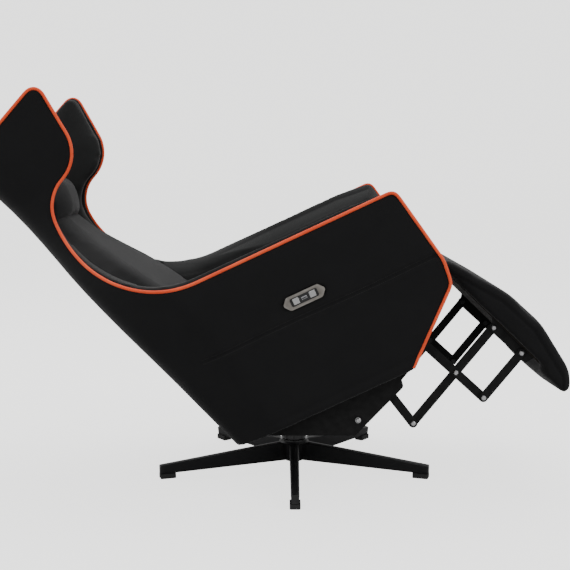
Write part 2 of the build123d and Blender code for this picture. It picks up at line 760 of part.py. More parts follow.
# the wing's front edge leaves the neck on two equal arcs
shoulder_run, shoulder_rise = wing_front_x - neck_x, wing_base_z - neck_z
shoulder_turn = 2 * degrees(atan2(shoulder_run, shoulder_rise))
shoulder_radius = shoulder_rise / (2 * sin(radians(shoulder_turn)))


def shell_outline(grow=0, arm_rise=0):
    """Side view of one arm and wing, drawn in seat directions and grown along its open edge."""
    arm_z = arm_height + grow + arm_rise
    top_z = wing_top_z + grow
    far_back = rear_face_x(wing_top_z) - 150
    back_top = (far_back, top_z - (wing_top_x - far_back) * tan(radians(wing_slope)))
    bend = neck_z - arm_z
    with BuildSketch() as outline:
        with BuildLine():
            front = FilletPolyline(
                (far_back, panel_bottom),
                (front_cut_x + grow, panel_bottom),
                (front_x + grow - 5, front_low_z),
                (front_x + grow, front_high_z),
                (arm_corner_x + grow, arm_z),
                (neck_x + grow + bend, arm_z),
                radius=[12, 30, 60, 14 + max(grow, 0)],
            )
            hollow = JernArc(front @ 1, (-1, 0), bend, -90)
            lower_shoulder = JernArc(hollow @ 1, (0, 1), shoulder_radius, -shoulder_turn)
            upper_shoulder = JernArc(lower_shoulder @ 1, lower_shoulder % 1, shoulder_radius, shoulder_turn)
            FilletPolyline(upper_shoulder @ 1, (wing_top_x + grow, top_z), back_top, radius=22 + grow)
            Line(back_top, (far_back, panel_bottom))
        make_face()
    return outline.sketch


outer_form = shell_form(0, 0)
lining_form = shell_form(panel_thickness, panel_thickness)
cushion_form = shell_form(0, panel_thickness, padded=True)

# the back panel is the part of the shell between two sloping seams
seam_low, seam_high = 196.0, 118.0  # half width of the back panel at its foot and at the top
zone_rear = 700.0  # how far behind the origin the cutting block starts
with BuildPart() as back_zone:
    with BuildSketch(seat_cross(-zone_rear)):
        with BuildLine():
            Polyline(
                (-seam_low, panel_bottom - 60),
                (seam_low, panel_bottom - 60),
                (seam_high, wing_top_z + 60),
                (-seam_high, wing_top_z + 60),
                close=True,
            )
        make_face()
    extrude(amount=zone_rear)

with BuildPart() as shell:
    with BuildSketch(seat_side(shell_width)):
        add(shell_outline())
    extrude(amount=2 * shell_width)
    add(outer_form, mode=Mode.INTERSECT)
    add(lining_form, mode=Mode.SUBTRACT)

# ---------------------------------------------------------------- switch panel
with BuildPart() as bezel_block:
    with BuildSketch(seat_side(-switch_face)):
        with Locations((switch_x, switch_z)):
            SlotOverall(bezel_length - 9, bezel_height - 9)
    extrude(amount=-bezel_depth)
    with BuildSketch(seat_side(-switch_face)):
        with BuildLine():
            half_length, half_height = bezel_length / 2, bezel_height / 2
            FilletPolyline(
                (switch_x - half_length, switch_z),
                (switch_x - half_length + 13, switch_z - half_height),
                (switch_x + half_length - 13, switch_z - half_height),
                (switch_x + half_length, switch_z),
                (switch_x + half_length - 13, switch_z + half_height),
                (switch_x - half_length + 13, switch_z + half_height),
                radius=[6, 8, 8, 6, 8, 8],
                close=True,
            )
        make_face()
    extrude(amount=-bezel_flange)

button_hole = button_size + 2 * button_gap
with BuildPart() as switch_bezel:
    add(bezel_block.part)
    with BuildSketch(seat_side(-switch_face)):
        with Locations((switch_x, switch_z)):
            RectangleRounded(recess_length, recess_height, 4)
    extrude(amount=-recess_depth, mode=Mode.SUBTRACT)
    with BuildSketch(seat_side(-switch_face + recess_depth)):
        with Locations((switch_x, switch_z)):
            with GridLocations(button_pitch, 1, 2, 1):
                RectangleRounded(button_hole, button_hole, 1.6)
            Rectangle(port_length, port_height)
    extrude(amount=-button_depth - button_travel - 1, mode=Mode.SUBTRACT)
save(switch_bezel, "switch_bezel")

for name, button_x in (("open", switch_x - button_pitch / 2), ("close", switch_x + button_pitch / 2)):
    with BuildPart() as button:
        with BuildSketch(seat_side(-switch_face + recess_depth - button_rise)):
            with Locations((button_x, switch_z)):
                RectangleRounded(button_size, button_size, 1.5)
        extrude(amount=-button_depth - button_rise)
        cap_face = button.faces().sort_by(Axis.Y)[0]
        fillet(cap_face.edges(), 0.8)
        with BuildSketch(seat_side(-switch_face + recess_depth - button_rise)):
            with Locations((button_x, switch_z)):
                RegularPolygon(3.2, 3, rotation=0 if name == "open" else 180)
        extrude(amount=-0.4, mode=Mode.SUBTRACT)
    save(button, f"button_{name}")

with BuildPart() as charge_port:
    with BuildSketch(seat_side(-switch_face + recess_depth)):
        with Locations((switch_x, switch_z)):
            Rectangle(port_length, port_height)
            Rectangle(port_length - 1.6, port_height - 1.6, mode=Mode.SUBTRACT)
    extrude(amount=-button_depth)
    with BuildSketch(seat_side(-switch_face + recess_depth + 1)):
        with Locations((switch_x, switch_z + 1)):
            Rectangle(port_length - 1.6, 1.6)
    extrude(amount=-button_depth + 1)
save(charge_port, "charge_port")

# ---------------------------------------------------------------- upholstered shell
with BuildPart() as back_panel:
    add(shell.part)
    add(back_zone.part, mode=Mode.INTERSECT)
save(back_panel, "back_panel")

side_panels = {}
for side, sign in sides.items():
    with BuildPart() as side_panel:
        add(shell.part)
        add(back_zone.part, mode=Mode.SUBTRACT)
        split(bisect_by=Plane.XZ, keep=Keep.BOTTOM if sign > 0 else Keep.TOP)
        if side == "right":
            add(bezel_block.part, mode=Mode.SUBTRACT)
    save(side_panel, f"side_panel_{side}")
    side_panels[side] = side_panel.part

with BuildPart() as piping_band:
    with BuildSketch(seat_side(shell_width)):
        add(shell_outline(grow=piping_rise))
        add(shell_outline(), mode=Mode.SUBTRACT)
        with Locations((0, panel_bottom)):
            Rectangle(3 * shell_reach, 2 * piping_start, mode=Mode.SUBTRACT)
    extrude(amount=2 * shell_width)

with BuildPart() as shell_piping:
    add(shell_form(-piping_proud, -piping_proud))
    add(shell_form(piping_width - piping_proud, piping_width - piping_proud), mode=Mode.SUBTRACT)
    add(piping_band.part, mode=Mode.INTERSECT)
save(shell_piping, "shell_piping")

pad_low = rail_top + strap_thickness + 4
with BuildPart() as pads:
    with BuildSketch(seat_side(shell_width)):
        add(shell_outline(grow=-pad_inset, arm_rise=arm_crown + pad_inset))
        with Locations((0, pad_low)):
            Rectangle(4 * shell_reach, 2 * pad_low, align=(Align.CENTER, Align.MAX), mode=Mode.SUBTRACT)
    extrude(amount=2 * shell_width)
    add(lining_form, mode=Mode.INTERSECT)
    add(cushion_form, mode=Mode.SUBTRACT)

crown_top = arm_height + arm_crown
arm_half, _, _, arm_wall, _ = shell_at(crown_top)
inner_arm = arm_half - arm_wall
for side, sign in sides.items():
    with BuildPart() as crown_cut:
        for along, share in ((crown_start, 0.08), (crown_start + 180, 1.0), (shell_reach, 1.0)):
            with BuildSketch(seat_cross(along)):
                with BuildLine():
                    Polyline(
                        (sign * (inner_arm - 12), crown_top + 5),
                        (sign * (inner_arm + crown_width * share), crown_top + 5),
                        (sign * (inner_arm + crown_width * share), crown_top),
                        (sign * (inner_arm - 1), crown_top - crown_depth * share),
                        (sign * (inner_arm - 12), crown_top - crown_depth * share),
                        close=True,
                    )
                make_face()
        loft(ruled=True)
    with BuildPart() as pad:
        add(pads.part)
        split(bisect_by=Plane.XZ, keep=Keep.BOTTOM if sign > 0 else Keep.TOP)
        add(crown_cut.part, mode=Mode.SUBTRACT)
        if side == "right":
            add(bezel_block.part, mode=Mode.SUBTRACT)
    save(pad, f"arm_pad_{side}")

# ---------------------------------------------------------------- cushions
cushion_low = rail_top + strap_thickness + seam
cushion_reach = 200.0  # drawn past the back panel, which trims it
room_form = shell_form(seam, panel_thickness, padded=True)

with BuildPart() as seat_cushion:
    with BuildSketch(seat_side(shell_width)):
        with BuildLine():
            front_foot = (seat_cushion_front - 6, cushion_low)
            nose = (seat_cushion_front, cushion_low + 52)
            lip = (seat_cushion_front - 40, seat_cushion_top)
            Polyline(front_foot, (seat_cushion_rear, cushion_low), (seat_cushion_rear, seat_cushion_top - 12))
            Spline(
                (seat_cushion_rear, seat_cushion_top - 12),
                (seat_cushion_rear + 260, seat_cushion_top - 4),
                lip,
                nose,
                front_foot,
                tangents=[(1, 0.1), (-0.1, -1)],
            )
        make_face()
    extrude(amount=2 * shell_width)
    add(room_form, mode=Mode.INTERSECT)
save(seat_cushion, "seat_cushion")

back_top_x = -386.0  # front of the back cushion at its top, level with the shell's sloping edge
back_top_z = wing_top_z - pad_inset - seam - (wing_top_x - back_top_x) * tan(radians(wing_slope))
back_front = [(-97, 486), (-160, 665), (-272, 840), (-334, 980), (back_top_x, back_top_z)]
with BuildPart() as back_cushion:
    with BuildSketch(seat_side(shell_width)):
        with BuildLine():
            back_curve = Spline(*back_front)
            Polyline(
                back_curve @ 1,
                (back_top_x - cushion_reach, back_top_z - cushion_reach * tan(radians(wing_slope))),
                (back_top_x - cushion_reach, cushion_low + 20),
                (back_front[0][0], cushion_low + 20),
                back_front[0],
            )
        make_face()
    extrude(amount=2 * shell_width)
    add(room_form, mode=Mode.INTERSECT)
save(back_cushion, "back_cushion")

pillow_depth = 90.0  # drawn past the back cushion, which trims it
with BuildPart() as headrest_pillow:
    with BuildSketch(seat_side(pillow_half_width)):
        with BuildLine():
            FilletPolyline(
                (pillow_front_x - pillow_depth, pillow_low),
                (pillow_front_x - pillow_lean, pillow_low),
                (pillow_front_x, pillow_low + (pillow_high - pillow_low) * 0.45),
                (pillow_front_x - 4, pillow_high),
                (pillow_front_x - pillow_depth, pillow_high),
                radius=[0, pillow_corner, pillow_corner * 2, pillow_corner, 0],
                close=True,
            )
        make_face()
    extrude(amount=2 * pillow_half_width)
    chamfer(headrest_pillow.faces().filter_by(Axis.Y).edges(), pillow_chamfer)
    add(back_cushion.part, mode=Mode.SUBTRACT)
save(headrest_pillow, "headrest_pillow")

with BuildPart() as panel_blocks:
    for sign in sides.values():
        with BuildSketch(seat_side(sign * (rail_inner + steel))):
            with Locations((block_rear_x, rail_top - block_height / 2), (block_front_x, rail_top - block_height / 2)):
                Rectangle(block_length, block_height)
        extrude(amount=-sign * 90)
    add(lining_form, mode=Mode.INTERSECT)
save(panel_blocks, "panel_blocks")
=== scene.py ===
from math import atan2, cos, pi, radians, sin

import bmesh
import bpy
import numpy as np
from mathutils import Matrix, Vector
from mathutils.bvhtree import BVHTree


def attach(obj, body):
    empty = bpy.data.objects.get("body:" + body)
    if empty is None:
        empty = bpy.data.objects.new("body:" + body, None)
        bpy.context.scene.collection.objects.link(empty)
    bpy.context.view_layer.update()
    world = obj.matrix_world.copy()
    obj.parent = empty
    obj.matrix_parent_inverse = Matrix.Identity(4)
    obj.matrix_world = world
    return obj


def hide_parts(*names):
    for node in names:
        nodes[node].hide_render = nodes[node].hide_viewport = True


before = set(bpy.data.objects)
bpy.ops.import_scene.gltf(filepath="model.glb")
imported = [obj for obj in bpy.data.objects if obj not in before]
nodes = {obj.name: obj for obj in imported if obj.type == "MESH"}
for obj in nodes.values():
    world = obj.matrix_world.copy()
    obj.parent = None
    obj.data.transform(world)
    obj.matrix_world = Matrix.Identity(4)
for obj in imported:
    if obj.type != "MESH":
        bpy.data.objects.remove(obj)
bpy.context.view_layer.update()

# ---------------------------------------------------------------- studio
# A pale seamless floor under a large soft overhead light, with weak lights at the sides. Floor and
# backdrop look brighter to the camera than the light they give, so that black cloth stays black.


def multiplier(tree, factor):
    """A node that multiplies its first input by a factor, which a link to its second can replace."""
    node = tree.nodes.new("ShaderNodeMath")
    node.operation = "MULTIPLY"
    node.inputs[1].default_value = factor
    return node


floor_mesh = bpy.data.meshes.new("studio_floor")
floor_shape = bmesh.new()
bmesh.ops.create_circle(floor_shape, cap_ends=True, segments=96, radius=30)
floor_shape.to_mesh(floor_mesh)
floor_shape.free()
floor = bpy.data.objects.new("studio_floor", floor_mesh)
bpy.context.collection.objects.link(floor)

floor_paint = bpy.data.materials.new("pale_floor")
floor_paint.use_nodes = True
floor_shader = floor_paint.node_tree.nodes["Principled BSDF"]
floor_shader.inputs["Base Color"].default_value = (0.45, 0.45, 0.45, 1)
floor_shader.inputs["Roughness"].default_value = 0.9
floor_shader.inputs["Specular IOR Level"].default_value = 0.1
floor_shader.inputs["Emission Color"].default_value = (1, 1, 0.99, 1)
floor_sight = floor_paint.node_tree.nodes.new("ShaderNodeLightPath")
floor_lift = multiplier(floor_paint.node_tree, 1.84)
floor_paint.node_tree.links.new(floor_sight.outputs["Is Camera Ray"], floor_lift.inputs[0])
floor_paint.node_tree.links.new(floor_lift.outputs["Value"], floor_shader.inputs["Emission Strength"])
floor_mesh.materials.append(floor_paint)


def soft_light(name, place, aim, size, watts):
    light = bpy.data.lights.new(name, "AREA")
    light.shape = "RECTANGLE"
    light.size, light.size_y = size
    light.energy = watts
    lamp = bpy.data.objects.new(name, light)
    lamp.location = place
    lamp.rotation_euler = (Vector(aim) - Vector(place)).to_track_quat("-Z", "Y").to_euler()
    bpy.context.collection.objects.link(lamp)
    return lamp


soft_light("overhead_softbox", (0.2, 1.0, 3.4), (0, 0.05, 0.5), (3.6, 2.6), 76)
soft_light("front_strip", (3.2, -1.2, 1.9), (0.2, 0, 0.6), (0.8, 2.2), 30)
soft_light("camera_side_fill", (-1.4, -3.2, 1.8), (0, 0, 0.6), (2.4, 1.6), 26)
soft_light("rear_strip", (-3.0, 0.6, 1.8), (-0.2, 0, 0.7), (0.8, 2.2), 22)

world = bpy.data.worlds.new("pale_studio")
bpy.context.scene.world = world
world.use_nodes = True
sky = world.node_tree
ambient = sky.nodes["Background"]
ambient.inputs["Color"].default_value = (0.72, 0.72, 0.72, 1)
backdrop = sky.nodes.new("ShaderNodeBackground")
backdrop.inputs["Color"].default_value = (1, 1, 0.99, 1)
backdrop.inputs["Strength"].default_value = 2.2
sight = sky.nodes.new("ShaderNodeLightPath")
choice = sky.nodes.new("ShaderNodeMixShader")
sky.links.new(sight.outputs["Is Camera Ray"], choice.inputs[0])
sky.links.new(ambient.outputs["Background"], choice.inputs[1])
sky.links.new(backdrop.outputs["Background"], choice.inputs[2])
sky.links.new(choice.outputs["Shader"], sky.nodes["World Output"].inputs["Surface"])

camera = bpy.data.objects.new("camera", bpy.data.cameras.new("camera"))
camera.data.lens = 68.19
camera.data.sensor_width = 36
camera.location = (0.0501, -2.7093, 0.7955)
camera.rotation_euler = (pi / 2 - 0.1198, 0, 0)
bpy.context.collection.objects.link(camera)
bpy.context.scene.camera = camera

# ---------------------------------------------------------------- star base
# Five blade-shaped legs of cast metal meet in a tapered hub. They are powder coated satin black,
# which wears a little on the ridges, and stand on moulded plastic glides.


def node_group(name, inputs, outputs):
    """A shader node group with named float, colour and vector sockets."""
    group = bpy.data.node_groups.new(name, "ShaderNodeTree")
    for label, kind, value in inputs:
        socket = group.interface.new_socket(label, in_out="INPUT", socket_type=f"NodeSocket{kind}")
        if value is not None:
            socket.default_value = value
    for label, kind in outputs:
        group.interface.new_socket(label, in_out="OUTPUT", socket_type=f"NodeSocket{kind}")
    return group, group.nodes.new("NodeGroupInput"), group.nodes.new("NodeGroupOutput")


def noise_node(tree, scale, detail, roughness=0.5):
    noise = tree.nodes.new("ShaderNodeTexNoise")
    noise.inputs["Scale"].default_value = scale
    noise.inputs["Detail"].default_value = detail
    noise.inputs["Roughness"].default_value = roughness
    return noise


def map_range(tree, low, high, to_low, to_high):
    ranged = tree.nodes.new("ShaderNodeMapRange")
    ranged.inputs["From Min"].default_value = low
    ranged.inputs["From Max"].default_value = high
    ranged.inputs["To Min"].default_value = to_low
    ranged.inputs["To Max"].default_value = to_high
    return ranged


# shared by every painted or plated metal: fine orange peel, soft smudges and worn edges
coat_group, coat_in, coat_out = node_group(
    "coat_texture",
    [("Vector", "Vector", None), ("Grain", "Float", 900.0), ("Smudge", "Float", 9.0)],
    [("Peel", "Float"), ("Smudges", "Float"), ("Wear", "Float")],
)
peel = noise_node(coat_group, 900, 2)
smudge = noise_node(coat_group, 9, 4, 0.6)
pointed = coat_group.nodes.new("ShaderNodeNewGeometry")
edge = map_range(coat_group, 0.515, 0.6, 0, 1)
edge_break = noise_node(coat_group, 60, 3)
edge_mask = multiplier(coat_group, 1.0)
coat_group.links.new(coat_in.outputs["Vector"], peel.inputs["Vector"])
coat_group.links.new(coat_in.outputs["Vector"], smudge.inputs["Vector"])
coat_group.links.new(coat_in.outputs["Vector"], edge_break.inputs["Vector"])
coat_group.links.new(coat_in.outputs["Grain"], peel.inputs["Scale"])
coat_group.links.new(coat_in.outputs["Smudge"], smudge.inputs["Scale"])
coat_group.links.new(pointed.outputs["Pointiness"], edge.inputs["Value"])
coat_group.links.new(edge.outputs["Result"], edge_mask.inputs[0])
coat_group.links.new(edge_break.outputs["Fac"], edge_mask.inputs[1])
coat_group.links.new(peel.outputs["Fac"], coat_out.inputs["Peel"])
coat_group.links.new(smudge.outputs["Fac"], coat_out.inputs["Smudges"])
coat_group.links.new(edge_mask.outputs["Value"], coat_out.inputs["Wear"])


def textured(name, group, first, second):
    """A material that reads a texture group over the piece, with a mix of two colours to its shader."""
    material = bpy.data.materials.new(name)
    material.use_nodes = True
    tree = material.node_tree
    shader = tree.nodes["Principled BSDF"]
    place = tree.nodes.new("ShaderNodeTexCoord")
    texture = tree.nodes.new("ShaderNodeGroup")
    texture.node_tree = group
    tree.links.new(place.outputs["Object"], texture.inputs["Vector"])
    tint = tree.nodes.new("ShaderNodeMix")
    tint.data_type = "RGBA"
    tint.inputs["A"].default_value = (*first, 1)
    tint.inputs["B"].default_value = (*second, 1)
    tree.links.new(tint.outputs["Result"], shader.inputs["Base Color"])
    return material, tree, shader, texture, tint


def coated(name, colour, worn, rough, metal=0.0, grain=900.0, bump=0.1, coat=0.0, specular=0.5):
    """A hard finish: its colour, the colour that shows where edges wear, and its range of roughness."""
    material, tree, shader, texture, tint = textured(name, coat_group, colour, worn)
    texture.inputs["Grain"].default_value = grain
    tree.links.new(texture.outputs["Wear"], tint.inputs["Factor"])
    spread = map_range(tree, 0.25, 0.75, *rough)
    tree.links.new(texture.outputs["Smudges"], spread.inputs["Value"])
    tree.links.new(spread.outputs["Result"], shader.inputs["Roughness"])
    relief = tree.nodes.new("ShaderNodeBump")
    relief.inputs["Strength"].default_value = bump
    relief.inputs["Distance"].default_value = 0.0004
    tree.links.new(texture.outputs["Peel"], relief.inputs["Height"])
    tree.links.new(relief.outputs["Normal"], shader.inputs["Normal"])
    shader.inputs["Metallic"].default_value = metal
    shader.inputs["Coat Weight"].default_value = coat
    shader.inputs["Specular IOR Level"].default_value = specular
    return material


def dress(material, *names):
    """Gives a material to nodes of the frame, whose shape stays as it is."""
    for name in names:
        nodes[name].data.materials.clear()
        nodes[name].data.materials.append(material)


base_coat = coated(
    "satin_black_base", (0.005, 0.005, 0.006), (0.04, 0.04, 0.04), (0.34, 0.48), bump=0.15, specular=0.4
)
dress(base_coat, "base_hub", *[f"base_leg_{number}" for number in range(1, 6)])
glide_plastic = coated("glide_plastic", (0.008, 0.008, 0.008), (0.02, 0.02, 0.02), (0.6, 0.75), grain=500)
dress(glide_plastic, "base_glides")

# ---------------------------------------------------------------- swivel column
# A turned steel column with a polished black finish stands in the hub. The sleeve welded under the
# chassis turns on it, on a thin washer.
column_polish = coated("column_polish", (0.006, 0.006, 0.007), (0.06, 0.06, 0.06), (0.12, 0.22), coat=0.6)
dress(column_polish, "swivel_column", "swivel_sleeve")

# ---------------------------------------------------------------- chassis and seat frame
# Laser-cut side plates, square beams and round tubes are welded into two frames, one above the other,
# and powder coated black with a slight grain. The seat rails turn on the chassis plates.
powder_black, powder_worn = (0.003, 0.003, 0.003), (0.02, 0.02, 0.02)
frame_coat = coated(
    "black_powder_coat", powder_black, powder_worn, (0.55, 0.7), grain=1400, bump=0.3, specular=0.12
)
dress(
    frame_coat,
    *["mount_plate", "chassis_beam_rear", "chassis_beam_front", "chassis_plate_right", "chassis_plate_left"],
    *["motor_clevis", "rod_clevis", "seat_rail_right", "seat_rail_left"],
    *["seat_tube_rear", "seat_tube_middle", "seat_tube_front"],
)

# ---------------------------------------------------------------- footrest linkage
# Flat steel bars in three layers on each side make a scissor that pushes the footrest out. They have
# the frame's powder coat and turn on blackened rivets, each with a plated cap on its outer end.
dress(
    frame_coat,
    *["carrier_right", "carrier_left", "torque_tube", "long_bar_right", "long_bar_left"],
    *["short_bar_right", "short_bar_left", "stay_right", "stay_left"],
    *["footrest_bracket_right", "footrest_bracket_left"],
)
zinc_plate = coated(
    "zinc_plate", (0.62, 0.62, 0.63), (0.75, 0.75, 0.75), (0.22, 0.38), metal=1.0, grain=300, bump=0.05
)
black_oxide = coated(
    "black_oxide", (0.006, 0.006, 0.007), (0.1, 0.1, 0.1), (0.4, 0.5), metal=0.3, grain=400, specular=0.2
)
dress(black_oxide, "stay_studs", "carrier_rivets", "footrest_rivets", "lower_rivet_right", "lower_rivet_left")
dress(zinc_plate, "tilt_bolts")

# ---------------------------------------------------------------- bolt heads
# Every pivot shows a low button head with a hexagon socket, turned from plated steel. One small tree
# makes the head and puts it on each pivot, facing outwards or inwards.
tilt = radians(25)
tilt_pivot = (0.147, 0.184)
swivel_x = 0.073


def seat_place(x, y, z):
    """Place in the chair of a point given in the seat's own level directions, in millimetres."""
    along, up = x / 1000 - tilt_pivot[0], z / 1000 - tilt_pivot[1]
    return Vector((
        swivel_x + tilt_pivot[0] + along * cos(tilt) - up * sin(tilt),
        y / 1000,
        tilt_pivot[1] + along * sin(tilt) + up * cos(tilt),
    ))


def seat_directions(points):
    """The seat's own level directions, in millimetres, of many places in the chair."""
    along = points[:, 0] - swivel_x - tilt_pivot[0]
    up = points[:, 2] - tilt_pivot[1]
    x = (along * cos(tilt) + up * sin(tilt) + tilt_pivot[0]) * 1000
    z = (-along * sin(tilt) + up * cos(tilt) + tilt_pivot[1]) * 1000
    return x, points[:, 1] * 1000, z


def growing_tree(name, sizes):
    """A Geometry Nodes tree with a mesh input, a material input and named sizes."""
    tree = bpy.data.node_groups.new(name, "GeometryNodeTree")
    tree.interface.new_socket("Geometry", in_out="INPUT", socket_type="NodeSocketGeometry")
    for label, value in sizes:
        tree.interface.new_socket(label, in_out="INPUT", socket_type="NodeSocketFloat").default_value = value
    tree.interface.new_socket("Material", in_out="INPUT", socket_type="NodeSocketMaterial")
    tree.interface.new_socket("Geometry", in_out="OUTPUT", socket_type="NodeSocketGeometry")
    return tree, tree.nodes.new("NodeGroupInput"), tree.nodes.new("NodeGroupOutput")


def grown(name, tree, points, edges, sizes, material, body):
    """Runs a tree on a few points or a line, and keeps the result as one plain mesh on a body."""
    seed = bpy.data.meshes.new(name + "_path")
    seed.from_pydata([tuple(point) for point in points], edges, [])
    grower = bpy.data.objects.new(name + "_path", seed)
    bpy.context.collection.objects.link(grower)
    modifier = grower.modifiers.new("grow", "NODES")
    modifier.node_group = tree
    for item in tree.interface.items_tree:
        if item.in_out == "INPUT" and item.name in sizes:
            modifier[item.identifier] = sizes[item.name]
        if item.in_out == "INPUT" and item.name == "Material":
            modifier[item.identifier] = material
    graph = bpy.context.evaluated_depsgraph_get()
    mesh = bpy.data.meshes.new_from_object(grower.evaluated_get(graph))
    mesh.name = name
    bpy.data.objects.remove(grower)
    piece = bpy.data.objects.new(name, mesh)
    bpy.context.collection.objects.link(piece)
    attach(piece, body)
    return piece


head_tree, head_in, head_out = growing_tree(
    "button_heads", [("Radius", 0.0068), ("Height", 0.0022), ("Turn", 0.0)]
)
disc = head_tree.nodes.new("GeometryNodeMeshCone")
disc.inputs["Vertices"].default_value = 24
disc.inputs["Side Segments"].default_value = 2
socket_cut = head_tree.nodes.new("GeometryNodeMeshCylinder")
socket_cut.inputs["Vertices"].default_value = 6
narrow = multiplier(head_tree, 0.7)
socket_size = multiplier(head_tree, 0.38)
lift = head_tree.nodes.new("ShaderNodeCombineXYZ")
raise_cut = head_tree.nodes.new("GeometryNodeTransform")
carve = head_tree.nodes.new("GeometryNodeMeshBoolean")
carve.operation = "DIFFERENCE"
put = head_tree.nodes.new("GeometryNodeInstanceOnPoints")
turn = head_tree.nodes.new("ShaderNodeCombineXYZ")
settle = head_tree.nodes.new("GeometryNodeRealizeInstances")
paint = head_tree.nodes.new("GeometryNodeSetMaterial")
links = head_tree.links
links.new(head_in.outputs["Radius"], disc.inputs["Radius Bottom"])
links.new(head_in.outputs["Radius"], narrow.inputs[0])
links.new(narrow.outputs["Value"], disc.inputs["Radius Top"])
links.new(head_in.outputs["Height"], disc.inputs["Depth"])
links.new(head_in.outputs["Radius"], socket_size.inputs[0])
links.new(socket_size.outputs["Value"], socket_cut.inputs["Radius"])
links.new(head_in.outputs["Height"], socket_cut.inputs["Depth"])
links.new(head_in.outputs["Height"], lift.inputs["Z"])
links.new(socket_cut.outputs["Mesh"], raise_cut.inputs["Geometry"])
links.new(lift.outputs["Vector"], raise_cut.inputs["Translation"])
links.new(disc.outputs["Mesh"], carve.inputs["Mesh 1"])
links.new(raise_cut.outputs["Geometry"], carve.inputs["Mesh 2"])
links.new(head_in.outputs["Turn"], turn.inputs["X"])
links.new(head_in.outputs["Geometry"], put.inputs["Points"])
links.new(carve.outputs["Mesh"], put.inputs["Instance"])
links.new(turn.outputs["Vector"], put.inputs["Rotation"])
links.new(put.outputs["Instances"], settle.inputs["Geometry"])
links.new(settle.outputs["Geometry"], paint.inputs["Geometry"])
links.new(head_in.outputs["Material"], paint.inputs["Material"])
links.new(paint.outputs["Geometry"], head_out.inputs["Geometry"])


def beyond(start, distance, angle):
    return start[0] + distance * cos(radians(angle)), start[1] + distance * sin(radians(angle))


sides = (("right", -1), ("left", 1))
long_bar_angle, carrier_angle = 26, 112.7  # of the bars in the side view, in degrees
bar_spacing = 87.7  # between a long bar's pivots and the short bar's
knee = (400.0, 183.5)
lower_pivot = beyond(knee, -156, long_bar_angle)
upper_pivot = beyond(knee, 137, long_bar_angle)
outer_knee = beyond(knee, -bar_spacing, carrier_angle)
outer_pivot = beyond(upper_pivot, -bar_spacing, carrier_angle)
tilt_reach, long_bar_reach, short_bar_reach = 259.4, 231.0, 236.2  # heads' seats, from the middle
tilt_head, rivet_head, head_height = 0.0055, 0.0058, 0.0018
head_rows = [
    ("tilt", (147.0, 184.0), tilt_reach, tilt_head, "chassis"),
    ("knee", knee, long_bar_reach, rivet_head, "carrier"),
    ("outer_knee", outer_knee, short_bar_reach, rivet_head, "carrier"),
    ("upper", upper_pivot, long_bar_reach, rivet_head, "footrest"),
    ("outer", outer_pivot, short_bar_reach, rivet_head, "footrest"),
    ("lower", lower_pivot, long_bar_reach, rivet_head, "long_bar_{side}"),
]
for label, (x, z), reach, radius, body in head_rows:
    for side, sign in sides:
        places = [seat_place(x, sign * reach, z)]
        sizes = {"Radius": radius, "Height": head_height, "Turn": -sign * pi / 2}
        body_name = body.format(side=side)
        grown(f"{label}_head_{side}", head_tree, places, [], sizes, zinc_plate, body_name)

# ---------------------------------------------------------------- actuator
# A ribbed plastic gearbox and motor can hang between the chassis beams and push the seat's middle tube
# through a polished rod.
actuator_plastic = coated(
    "actuator_plastic", (0.012, 0.012, 0.013), (0.03, 0.03, 0.03), (0.5, 0.65), grain=700
)
dress(actuator_plastic, "actuator_motor", "actuator_can")
rod_chrome = coated("rod_chrome", (0.6, 0.6, 0.62), (0.7, 0.7, 0.7), (0.08, 0.18), metal=1.0, bump=0.02)
dress(rod_chrome, "actuator_rod")

# ---------------------------------------------------------------- webbing and wood
# Six elastic straps are stapled across the rails under the seat cushion. Plywood blocks join the rails
# to the side panels, and the footrest pad is built on a black-stained board.
weave_group, weave_in, weave_out = node_group(
    "cloth_texture",
    [("Vector", "Vector", None), ("Threads", "Float", 2200.0), ("Mottle", "Float", 14.0)],
    [("Weave", "Float"), ("Mottling", "Float"), ("Creases", "Float")],
)
warp = weave_group.nodes.new("ShaderNodeTexWave")
warp.bands_direction = "X"
warp.inputs["Distortion"].default_value = 0.6
weft = weave_group.nodes.new("ShaderNodeTexWave")
weft.bands_direction = "Z"
weft.inputs["Distortion"].default_value = 0.6
crossing = weave_group.nodes.new("ShaderNodeMath")
crossing.operation = "MAXIMUM"
mottle = noise_node(weave_group, 14, 5, 0.6)
crease = noise_node(weave_group, 5, 3, 0.45)
for texture, scale in ((warp, "Threads"), (weft, "Threads"), (mottle, "Mottle")):
    weave_group.links.new(weave_in.outputs["Vector"], texture.inputs["Vector"])
    weave_group.links.new(weave_in.outputs[scale], texture.inputs["Scale"])
weave_group.links.new(weave_in.outputs["Vector"], crease.inputs["Vector"])
weave_group.links.new(warp.outputs["Fac"], crossing.inputs[0])
weave_group.links.new(weft.outputs["Fac"], crossing.inputs[1])
weave_group.links.new(crossing.outputs["Value"], weave_out.inputs["Weave"])
weave_group.links.new(mottle.outputs["Fac"], weave_out.inputs["Mottling"])
weave_group.links.new(crease.outputs["Fac"], weave_out.inputs["Creases"])


